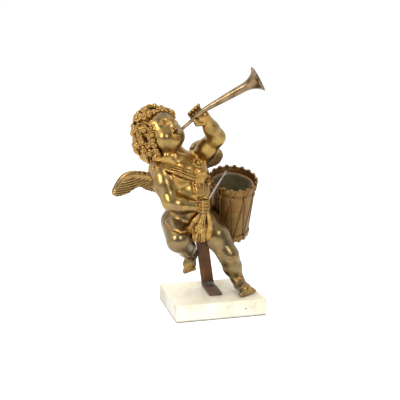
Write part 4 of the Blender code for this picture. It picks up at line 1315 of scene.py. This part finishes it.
def bracket():
    outer, inner = [(-STRAP_FOOT, 0)], [(-STRAP_FOOT, STRAP_THICKNESS)]
    tight = STRAP_BEND - STRAP_THICKNESS
    for turn in steps(0, pi / 2, 9):
        outer.append((STRAP_BEND * (sin(turn) - 1), STRAP_BEND * (1 - cos(turn))))
        inner.append((tight * sin(turn) - STRAP_BEND, STRAP_BEND - tight * cos(turn)))
    for height in steps(0.012, STRAP_HEIGHT, 16):
        outer.append((0, height))
        inner.append((-STRAP_THICKNESS, height))
    bm = bmesh.new()
    half = STRAP_WIDTH / 2
    outline = [bm.verts.new((-half, back, up)) for back, up in outer + inner[::-1]]
    face = bm.faces.new(outline)
    grown = bmesh.ops.extrude_face_region(bm, geom=[face])["geom"]
    verts = [part for part in grown if isinstance(part, bmesh.types.BMVert)]
    bmesh.ops.translate(bm, vec=(STRAP_WIDTH, 0, 0), verts=verts)
    bmesh.ops.recalc_face_normals(bm, faces=bm.faces)
    rims = [edge for edge in bm.edges if edge.calc_face_angle(0) > 1.2]
    bmesh.ops.bevel(bm, geom=rims, offset=0.0005, segments=2, profile=0.5, affect="EDGES", material=-1)
    across, back = lean()
    for vert in bm.verts:
        rise = max(vert.co.z - STRAP_BEND, 0)
        vert.co.x += across * rise
        vert.co.y += back * rise
    bmesh.ops.transform(bm, matrix=strap_place(), verts=bm.verts)
    bmesh.ops.triangulate(bm, faces=[face for face in bm.faces if len(face.verts) > 4])
    mesh = to_mesh(bm, "bracket")
    mesh.set_sharp_from_angle(angle=radians(35))
    return mesh


strap = keep("bracket", bracket(), "support_bracket")
print("bracket faces:", len(strap.data.polygons))

# %% Screw and rivet
WASHER_RADIUS, WASHER_THICKNESS = 0.00625, 0.0020
HEAD_RADIUS, HEAD_HEIGHT = 0.00375, 0.0028
SHANK_RADIUS, SHANK_LENGTH = 0.0021, 0.014
RIVET_RADIUS, RIVET_HEIGHT = 0.0023, 0.057


def dome(radius, height, rise, count):
    """(radius, height) from the top of a dome down to its rim, which is raised by rise."""
    return [(radius * sin(turn), rise + height * cos(turn)) for turn in steps(0, pi / 2, count)]


def screw():
    head = dome(HEAD_RADIUS, HEAD_HEIGHT, WASHER_THICKNESS, 8)
    washer = [
        (WASHER_RADIUS - 0.0009, WASHER_THICKNESS),
        (WASHER_RADIUS, WASHER_THICKNESS - 0.0006), (WASHER_RADIUS, 0.0003), (WASHER_RADIUS - 0.0003, 0),
        (SHANK_RADIUS, 0), (SHANK_RADIUS, -SHANK_LENGTH), (0, -SHANK_LENGTH),
    ]
    bm = spun(head + washer, 32)
    foot = strap_place() @ Vector((0, -STRAP_BEND - WASHER_RADIUS - 0.0015, STRAP_THICKNESS))
    bmesh.ops.transform(bm, matrix=Matrix.Translation(foot + FIT_GAP * UP), verts=bm.verts)
    return to_mesh(bm, "dome_screw")


def rivet():
    bm = spun(dome(RIVET_RADIUS, 0.6 * RIVET_RADIUS, 0, 7) + [(0, 0)], 20)
    across, back = lean()
    rise = RIVET_HEIGHT - STRAP_BEND
    place = strap_place()
    foot = place @ Vector((across * rise, back * rise - STRAP_THICKNESS - FIT_GAP, RIVET_HEIGHT))
    wide = place.to_3x3() @ Vector((1, 0, 0))
    up = place.to_3x3() @ Vector((across, back, 1))
    out = wide.cross(up).normalized()
    turn = Vector((0, 0, 1)).rotation_difference(out).to_matrix().to_4x4()
    bmesh.ops.transform(bm, matrix=Matrix.Translation(foot) @ turn, verts=bm.verts)
    return to_mesh(bm, "strap_rivet")


dome_screw = keep("dome_screw", screw(), "bracket_screw")
strap_rivet = keep("strap_rivet", rivet(), "bracket_rivet")
print("screw and rivet vertices:", len(dome_screw.data.vertices), len(strap_rivet.data.vertices))

# %% [markdown]
# ## The marble slab
# A sawn slab whose upper edges are rubbed round, with a small chip in its front face and two at its edges.
# A bevelled cube, cut into small faces, is enough; the stone's clouds and veins belong to its material.

# %% Slab
CHIPS = (
    ((0.0305, -0.049, 0.0105), 0.0018),
    ((-0.057, -0.0485, 0.0030), 0.0016),
    ((0.0566, -0.0490, 0.0195), 0.0013),
)
CHIP_DEPTH = 0.0007


def slab():
    bm = bmesh.new()
    size = Matrix.Diagonal((*BASE_SIZE, 1))
    bmesh.ops.create_cube(bm, size=1, matrix=Matrix.Translation((0, 0, BASE_TOP / 2)) @ size)
    upper = [edge for edge in bm.edges if max(vert.co.z for vert in edge.verts) > BASE_TOP / 2]
    bmesh.ops.bevel(bm, geom=upper, offset=0.0015, segments=4, profile=0.5, affect="EDGES", material=-1)
    lower = [edge for edge in bm.edges if max(vert.co.z for vert in edge.verts) < 0.0001]
    bmesh.ops.bevel(bm, geom=lower, offset=0.0005, segments=2, profile=0.5, affect="EDGES", material=-1)
    for axis, count in ((0, 90), (1, 76), (2, 18)):
        for share in steps(0, 1, count + 1)[1:-1]:
            place, normal = Vector((0, 0, BASE_TOP / 2)), Vector((0, 0, 0))
            place[axis] += (share - 0.5) * BASE_SIZE[axis]
            normal[axis] = 1
            everything = bm.verts[:] + bm.edges[:] + bm.faces[:]
            bmesh.ops.bisect_plane(bm, geom=everything, plane_co=place, plane_no=normal)
    middle = Vector((0, 0, BASE_TOP / 2))
    for vert in bm.verts:
        for centre, radius in CHIPS:
            near = (vert.co - Vector(centre)).length / radius
            if near < 1:
                vert.co += (middle - vert.co).normalized() * CHIP_DEPTH * (1 - near * near)
    mesh = to_mesh(bm, "slab")
    mesh.set_sharp_from_angle(angle=radians(40))
    return mesh


base = keep("slab", slab(), "marble_base")
print("slab faces:", len(base.data.polygons))

# %% [markdown]
# ## Writing a material as sums
# A finish is easier to read as arithmetic than as a web of nodes. A small class wraps a socket, so that
# adding or multiplying two of them adds the Math node for it. Every other node comes from one method.

# %% Sockets that can be added and multiplied
class Value:
    """A number in a material's graph."""

    def __init__(self, paint, socket):
        self.paint = paint
        self.socket = socket

    def math(self, operation, first, second, clamp=False):
        settings = {"operation": operation, "use_clamp": clamp}
        made = self.paint.node("ShaderNodeMath", settings, {0: first, 1: second})
        return Value(self.paint, made.outputs[0])

    def __add__(self, other):
        return self.math("ADD", self, other)

    def __sub__(self, other):
        return self.math("SUBTRACT", self, other)

    def __rsub__(self, other):
        return self.math("SUBTRACT", other, self)

    def __mul__(self, other):
        return self.math("MULTIPLY", self, other)

    __radd__ = __add__
    __rmul__ = __mul__

    def over(self, low, high):
        """0 below low, 1 above high, and a straight rise between."""
        return self.math("MULTIPLY", self - low, 1 / (high - low), clamp=True)


print("a value adds, subtracts and multiplies, and has", [name for name in vars(Value) if name.isalpha()])

# %% Graphs and paints
class Graph:
    """A node tree, whose nodes are all made by one method."""

    def __init__(self, tree):
        self.tree = tree

    def node(self, kind, settings=None, values=None):
        """Any node: its settings are set first, then the values or links of its sockets."""
        made = self.tree.nodes.new(kind)
        for key, value in (settings or {}).items():
            setattr(made, key, value)
        for key, value in (values or {}).items():
            self.feed(made.inputs[key], value)
        return made

    def feed(self, socket, value):
        """Links a socket, or sets its value."""
        if isinstance(value, Value):
            value = value.socket
        if isinstance(value, bpy.types.NodeSocket):
            self.tree.links.new(value, socket)
        else:
            socket.default_value = value


class Paint(Graph):
    """A material and its node graph."""

    def __init__(self, name, roughness=0.4, metallic=1.0):
        self.material = bpy.data.materials.new(name)
        self.material.use_nodes = True
        super().__init__(self.material.node_tree)
        self.shader = self.tree.nodes["Principled BSDF"]
        self.shader.inputs["Roughness"].default_value = roughness
        self.shader.inputs["Metallic"].default_value = metallic
        self.place = self.node("ShaderNodeTexCoord").outputs["Object"]

    def attribute(self, name):
        made = self.node("ShaderNodeAttribute", {"attribute_name": name})
        return Value(self, made.outputs["Fac"])

    def noise(self, scale, detail=3.0, rough=0.55, distortion=0.0, stretch=(1, 1, 1)):
        """Clouds whose size is about 1 / scale metres."""
        place = self.node("ShaderNodeMapping", {}, {"Vector": self.place, "Scale": stretch})
        values = {"Vector": place.outputs[0], "Scale": scale, "Detail": detail}
        values.update({"Roughness": rough, "Distortion": distortion})
        return Value(self, self.node("ShaderNodeTexNoise", {}, values).outputs["Fac"])

    def height(self):
        """Height above the ground, in metres."""
        return Value(self, self.node("ShaderNodeSeparateXYZ", {}, {0: self.place}).outputs[2])

    def mix(self, first, second, share):
        """A colour between two colours."""
        made = self.node("ShaderNodeMix", {"data_type": "RGBA"})
        for index, value in ((6, first), (7, second), (0, share)):
            if isinstance(value, tuple):
                value = (*value, 1)
            self.feed(made.inputs[index], value)
        return made.outputs[2]

    def finish(self, colour, roughness=None, bump=None, depth=0.0002):
        """Feeds the shader's colour, roughness and bump, and returns the material."""
        self.feed(self.shader.inputs["Base Color"], colour)
        if roughness is not None:
            self.feed(self.shader.inputs["Roughness"], roughness)
        if bump is not None:
            made = self.node("ShaderNodeBump", {}, {"Height": bump, "Distance": depth, "Strength": 1.0})
            self.feed(self.shader.inputs["Normal"], made.outputs[0])
        return self.material


def paint_on(piece, material):
    piece.data.materials.clear()
    piece.data.materials.append(material)


print("a paint has", len(Paint("trial").tree.nodes), "nodes before anything is mixed")
bpy.data.materials.remove(bpy.data.materials["trial"])

# %% [markdown]
# ## Aged gilt brass
# The skin is polished to olive and grey where it stands proud, and keeps warm gold in its hollows.
# Cloth and hair are still gilt, with brown dirt and painted shade deep between the folds, and the wings are
# more coppery.
# The figure's five attributes steer this, broken up by noise so that no border is a clean line; the crests of
# strands get a painted highlight and their furrows painted shade.

# %% Gilt brass
def gilt_brass():
    paint = Paint("aged_gilt_brass")
    hollow, gilt, copper = (paint.attribute(name) for name in ("hollow", "gilt", "copper"))
    clouds, patches, grain = paint.noise(32, 4), paint.noise(110, 4, 0.6), paint.noise(900, 3)
    skin = paint.mix((0.38, 0.250, 0.070), (0.255, 0.172, 0.066), clouds.over(0.44, 0.64))
    # painted shade and painted grey reflections, as dark purple-grey spots on the skin
    skin = paint.mix(skin, (0.165, 0.125, 0.105), paint.attribute("painted_shade") * (0.25 + patches * 0.6))
    low = 1 - paint.height().over(0.090, 0.170)
    skin = paint.mix(skin, (0.185, 0.140, 0.080), low * 0.8)
    skin = paint.mix(skin, (0.40, 0.245, 0.070), patches.over(0.50, 0.66) * (1 - low * 0.6))
    skin = paint.mix(skin, (0.150, 0.088, 0.036), paint.noise(70, 3, 0.6, 0.8).over(0.52, 0.64) * 0.7)
    skin = paint.mix(skin, (0.215, 0.165, 0.150), paint.noise(55, 3, 0.55, 0.5).over(0.57, 0.66) * 0.6)
    warm = (hollow + (patches - 0.5) * 0.35).over(0.16, 0.42)
    skin = paint.mix(skin, (0.48, 0.255, 0.060), warm)
    cloth = paint.mix((0.43, 0.275, 0.085), (0.32, 0.155, 0.040), patches.over(0.40, 0.62))
    feathers = paint.mix((0.22, 0.145, 0.070), (0.33, 0.200, 0.065), patches.over(0.40, 0.62))
    colour = paint.mix(skin, feathers, copper)
    colour = paint.mix(colour, cloth, gilt)
    strand = paint.attribute("strand")
    # painted highlight on the crest of each strand, ridge and pleat, and painted shade in the furrows between
    # them
    colour = paint.mix(colour, (0.66, 0.43, 0.130), strand.over(0.25, 0.95) * 0.62)
    colour = paint.mix(colour, (0.095, 0.048, 0.018), (strand * -1).over(0.15, 0.95) * 0.70)
    # brown dirt and painted shade, darkest in the deepest hollows
    dirt = (hollow - gilt * 0.08 + (grain - 0.5) * 0.1).over(0.48, 0.84)
    colour = paint.mix(colour, (0.075, 0.036, 0.013), dirt)
    rough = 0.20 + (patches * 0.12) + (hollow * 0.16) + (clouds * 0.06)
    return paint.finish(colour, rough, grain * 0.5 + paint.noise(2600, 2) * 0.3 + strand * 2, 0.00012)


GILT = gilt_brass()
for piece in FIGURE_PIECES:
    paint_on(piece, GILT)
print("figure finish:", GILT.name)

# %% [markdown]
# ## The other brasses
# The trumpet is worn to a silvery tan, the stick greyer still, and the drum is dull brown outside, with a
# coppery rim and a greyish green inside. Height and distance from the drum's axis tell inside from outside.

# %% Trumpet and stick
def worn_brass(name, light, dark, roughness):
    paint = Paint(name)
    patches, grain = paint.noise(120, 4, 0.6), paint.noise(800, 3)
    colour = paint.mix(dark, light, patches.over(0.36, 0.64))
    colour = paint.mix(colour, (0.42, 0.24, 0.10), paint.noise(260, 3).over(0.60, 0.72) * 0.7)
    return paint.finish(colour, roughness + patches * 0.16, grain * 0.5 + patches, 0.00005)


TAN = worn_brass("worn_tan_brass", (0.29, 0.205, 0.115), (0.135, 0.088, 0.045), 0.22)
GREY = worn_brass("grey_brass", (0.34, 0.28, 0.255), (0.19, 0.145, 0.125), 0.22)
paint_on(horn, TAN)
paint_on(stick, GREY)
print("worn brasses:", TAN.name, GREY.name)

# %% Drum brass
def mark_drum(mesh):
    """Marks the inside and a line of painted shade beside each rope and under each hoop."""
    back = drum_place().inverted()
    points = vec([back @ vert.co for vert in mesh.vertices])
    radius, height = np.hypot(points[:, 0], points[:, 1]), points[:, 2]
    wall = drum_radius(height)
    write(mesh, "inside", smoothstep(0.0012, 0.0025, wall - radius) * (height > DRUM_FLOOR - 0.001))
    write(mesh, "height", height / DRUM_HEIGHT)
    turn = np.arctan2(points[:, 1], points[:, 0])
    step = 2 * pi / TUG_COUNT
    phase = np.abs((turn - TUG_TURN + step / 2) % step - step / 2)
    start = DRUM_HEIGHT - HOOP_HEIGHT - ROPE_DROP
    fall = np.clip((start - height) / (start - HOOP_HEIGHT), 0, 1)
    rope_turn = NECK_TURN + fall * (step / 2 - FOOT_TURN - NECK_TURN)
    gap = np.abs(phase - rope_turn) * wall
    side = np.exp(-((gap / 0.0013) ** 2)) * (radius < wall + 0.0003)
    edge = np.minimum(np.abs(height - HOOP_HEIGHT), np.abs(DRUM_HEIGHT - HOOP_HEIGHT - height))
    under = np.exp(-((edge / 0.0009) ** 2)) * (radius < wall + 0.0006)
    # a line of painted shade beside each rope and under each hoop
    write(mesh, "groove", np.clip(side + under, 0, 1) * (radius > wall - 0.001))


def drum_brass():
    paint = Paint("dull_brown_brass")
    inside, height, groove = (paint.attribute(name) for name in ("inside", "height", "groove"))
    clouds, patches, grain = paint.noise(45, 4), paint.noise(150, 4, 0.6), paint.noise(900, 3)
    colour = paint.mix((0.175, 0.098, 0.030), (0.25, 0.150, 0.050), patches.over(0.38, 0.62))
    colour = paint.mix(colour, (0.21, 0.088, 0.036), clouds.over(0.54, 0.68))
    lining = paint.mix((0.34, 0.31, 0.20), (0.55, 0.50, 0.33), clouds.over(0.40, 0.60))
    lining = paint.mix(lining, (0.30, 0.135, 0.055), height.over(0.88, 0.91))
    colour = paint.mix(colour, lining, inside)
    # painted shade beside the ropes and under the hoops
    colour = paint.mix(colour, (0.055, 0.028, 0.014), groove * 0.85)
    rough = 0.36 + patches * 0.18 + inside * 0.14
    return paint.finish(colour, rough, grain * 0.5 + patches, 0.00015)


mark_drum(drum.data)
paint_on(drum, drum_brass())
print("the drum's mouth is at", [round(1000 * side) for side in spot(DRUM_TOP)], "mm")

# %% [markdown]
# ## Iron and steel
# The bar is brown with an even film of rust, purplish where it is thick, and almost without gloss.
# The washer and screw are plain grey, with rust starting on them.

# %% Rust and grey steel
def rusted_iron():
    paint = Paint("rusted_iron", 0.6, 0.25)
    clouds, patches, grain = paint.noise(60, 4, 0.6), paint.noise(300, 5, 0.65), paint.noise(1400, 3)
    colour = paint.mix((0.21, 0.088, 0.032), (0.125, 0.060, 0.030), clouds.over(0.42, 0.62))
    colour = paint.mix(colour, (0.29, 0.125, 0.040), patches.over(0.52, 0.66) * 0.8)
    foot = 1 - paint.height().over(0.024, 0.032)
    colour = paint.mix(colour, (0.115, 0.080, 0.068), foot * (0.5 + clouds * 0.5))
    return paint.finish(colour, 0.48 + patches * 0.3, grain * 0.6 + patches, 0.0002)


def grey_steel():
    paint = Paint("grey_steel", 0.5, 0.7)
    patches, grain = paint.noise(320, 4, 0.6), paint.noise(1500, 3)
    colour = paint.mix((0.17, 0.16, 0.14), (0.08, 0.07, 0.065), patches.over(0.42, 0.60))
    colour = paint.mix(colour, (0.13, 0.065, 0.04), grain.over(0.58, 0.68) * 0.7)
    return paint.finish(colour, 0.36 + patches * 0.25, grain + patches, 0.00015)


paint_on(strap, rusted_iron())
STEEL = grey_steel()
paint_on(dome_screw, STEEL)
paint_on(strap_rivet, STEEL)
print("iron finishes:", strap.data.materials[0].name, STEEL.name)

# %% [markdown]
# ## Marble
# White stone with broad, soft clouds of tan and grey, thin veins, and handling dirt round the bracket.
# Veins are the thin places where a warped noise crosses its middle value; dirt is a soft patch on the top.
# A dark line along the foot of the slab is painted shadow, and a grey film on its left side is painted shade.

# %% Marble
def marble():
    paint = Paint("honed_marble", 0.42, 0.0)
    clouds, streaks = paint.noise(26, 5, 0.6, 0.6), paint.noise(48, 4, 0.55, 1.4, (1, 0.5, 1))
    grain = paint.noise(500, 4, 0.7)
    split = paint.node("ShaderNodeSeparateXYZ", {}, {0: paint.place})
    x, y, z = (Value(paint, split.outputs[axis]) for axis in range(3))
    colour = paint.mix((0.89, 0.86, 0.75), (0.83, 0.76, 0.56), clouds.over(0.42, 0.64))
    vein = 1 - ((streaks - 0.5) * (streaks - 0.5)).over(0.0, 0.0016)
    colour = paint.mix(colour, (0.60, 0.55, 0.46), vein * clouds.over(0.44, 0.60) * 0.55)
    near = x * x + y * y * 1.6
    dirt = (1 - near.over(0.0003, 0.0028)) * z.over(BASE_TOP - 0.0015, BASE_TOP - 0.0002)
    colour = paint.mix(colour, (0.60, 0.49, 0.30), dirt * (0.05 + streaks.over(0.44, 0.58) * 0.7))
    yellow = paint.noise(34, 2).over(0.56, 0.70)
    colour = paint.mix(colour, (0.84, 0.78, 0.52), yellow * 0.4)
    inward = (x + BASE_SIZE[0] / 2).over(0.0, 0.0012)
    # painted shadow: a dark line along the foot of the slab, higher on its left side; the dark specks near
    # the foot are dirt
    line = 1 - (z + inward * 0.0015).over(0.0022, 0.0036)
    specks = (1 - z.over(0.0, 0.004)) * grain.over(0.42, 0.65)
    colour = paint.mix(colour, (0.10, 0.08, 0.055), line * 0.9 + specks * 0.15)
    colour = paint.mix(colour, (0.86, 0.77, 0.55), z.over(BASE_TOP - 0.0007, BASE_TOP - 0.0002) * 0.5)
    # painted shade on the slab's left side, as a grey film; the specks near the foot are dirt splashes
    left = (1 - inward) * (0.6 + clouds.over(0.40, 0.60) * 0.4)
    splashes = (1 - z.over(0.0, 0.012)) * grain.over(0.40, 0.70)
    colour = paint.mix(colour, (0.45, 0.41, 0.33), left + splashes * 0.12)
    away = [axis - middle for axis, middle in zip((x, y, z), CHIPS[0][0])]
    chip = (away[0] * away[0] + away[1] * away[1] + away[2] * away[2]).over(0.0, 0.0000028)
    colour = paint.mix((0.20, 0.17, 0.13), colour, chip)
    return paint.finish(colour, 0.34 + clouds * 0.2, grain, 0.0001)


paint_on(base, marble())
print("stone finish:", base.data.materials[0].name)

# %% [markdown]
# ## The room
# A pale floor, two soft boxes near the camera, a very soft sun, and a surround that is white behind the
# object and dim in front of it. Polished brass shows little more than what stands round it, so the boxes
# draw the long highlights down the limbs, and the dim side gives the dark reflections between them.

# %% Floor
FLOOR_REACH = 12


def floor():
    """A plain pale floor that glows a little, so that it stays white."""
    bm = bmesh.new()
    bmesh.ops.create_grid(bm, x_segments=1, y_segments=1, size=FLOOR_REACH)
    mesh = to_mesh(bm, "floor")
    made = bpy.data.objects.new("floor", mesh)
    bpy.context.scene.collection.objects.link(made)
    made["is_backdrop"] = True
    paint = Paint("floor", 0.7, 0.0)
    shade = paint.noise(0.8, 2)
    paint.shader.inputs["Emission Color"].default_value = (1, 1, 1, 1)
    paint.shader.inputs["Emission Strength"].default_value = 0.30
    paint_on(made, paint.finish(paint.mix((0.90, 0.90, 0.90), (0.88, 0.88, 0.88), shade)))
    return made


floor()
print("the floor is", 2 * FLOOR_REACH, "m across")

# %% Lights
MIDDLE = Vector((0, 0, 0.15))


def soft_box(name, turn, rise, size, power, away=1.35):
    """A soft box, turned from the front towards the viewer's right and raised, both in degrees."""
    lamp = bpy.data.lights.new(name, "AREA")
    lamp.shape = "RECTANGLE"
    lamp.size, lamp.size_y = size
    lamp.energy = power
    made = bpy.data.objects.new(name, lamp)
    bpy.context.scene.collection.objects.link(made)
    flat = cos(radians(rise)) * away
    out = Vector((sin(radians(turn)) * flat, -cos(radians(turn)) * flat, sin(radians(rise)) * away))
    made.location = MIDDLE + out
    made.rotation_euler = (-out).to_track_quat("-Z", "Y").to_euler()
    return made


soft_box("left_box", -52, 31, (0.30, 0.62), 8.5)
soft_box("right_box", 14, 33, (0.22, 0.50), 5)
sun = bpy.data.lights.new("sky_light", "SUN")
sun.energy, sun.angle = 0.8, radians(50)
sky_light = bpy.data.objects.new("sky_light", sun)
sky_light.rotation_euler = (radians(-20), radians(-14), 0)
bpy.context.scene.collection.objects.link(sky_light)

# %% Surround
def surround():
    """White behind the object and a dim room in front of it, which gives the brass its dark reflections."""
    world = bpy.data.worlds.new("surround")
    world.use_nodes = True
    graph = Graph(world.node_tree)
    way = graph.node("ShaderNodeTexCoord").outputs["Generated"]
    split = graph.node("ShaderNodeSeparateXYZ", {}, {0: way})
    limits = {1: -0.75, 2: -0.05, 3: 0.20, 4: 1.04}
    smooth = {"interpolation_type": "SMOOTHSTEP"}
    ramp = graph.node("ShaderNodeMapRange", smooth, {0: split.outputs[1], **limits})
    sky = graph.tree.nodes["Background"]
    graph.feed(sky.inputs["Strength"], ramp.outputs[0])
    graph.feed(sky.inputs["Color"], (0.98, 0.99, 1.0, 1))
    bpy.context.scene.world = world


surround()
bpy.context.scene.view_settings.view_transform = "Standard"
print("view transform:", bpy.context.scene.view_settings.view_transform)

# %% Camera
lens = bpy.data.cameras.new("camera")
lens.lens = 63
lens.sensor_width = 36
camera = bpy.data.objects.new("camera", lens)
bpy.context.scene.collection.objects.link(camera)
yaw, pitch = radians(15.1), radians(9.7)
ahead = Vector((sin(yaw) * cos(pitch), cos(yaw) * cos(pitch), -sin(pitch)))
camera.location = (-0.237, -0.825, 0.285)
camera.rotation_euler = ahead.to_track_quat("-Z", "Y").to_euler()
bpy.context.scene.camera = camera
print("the camera stands", round((camera.location - MIDDLE).length, 3), "m away")

# %% [markdown]
# ## Sizes
# The dressed model has to stay in the solids' box, so the two boxes are compared.

# %% Compare the boxes and finish
low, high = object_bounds()
over = [max(a - b, d - c) / (c - a) for a, b, c, d in zip(CAD_LOW, low, CAD_HIGH, high)]
print("furthest out of the solids' box, as a share of its side:", [round(share, 4) for share in over])
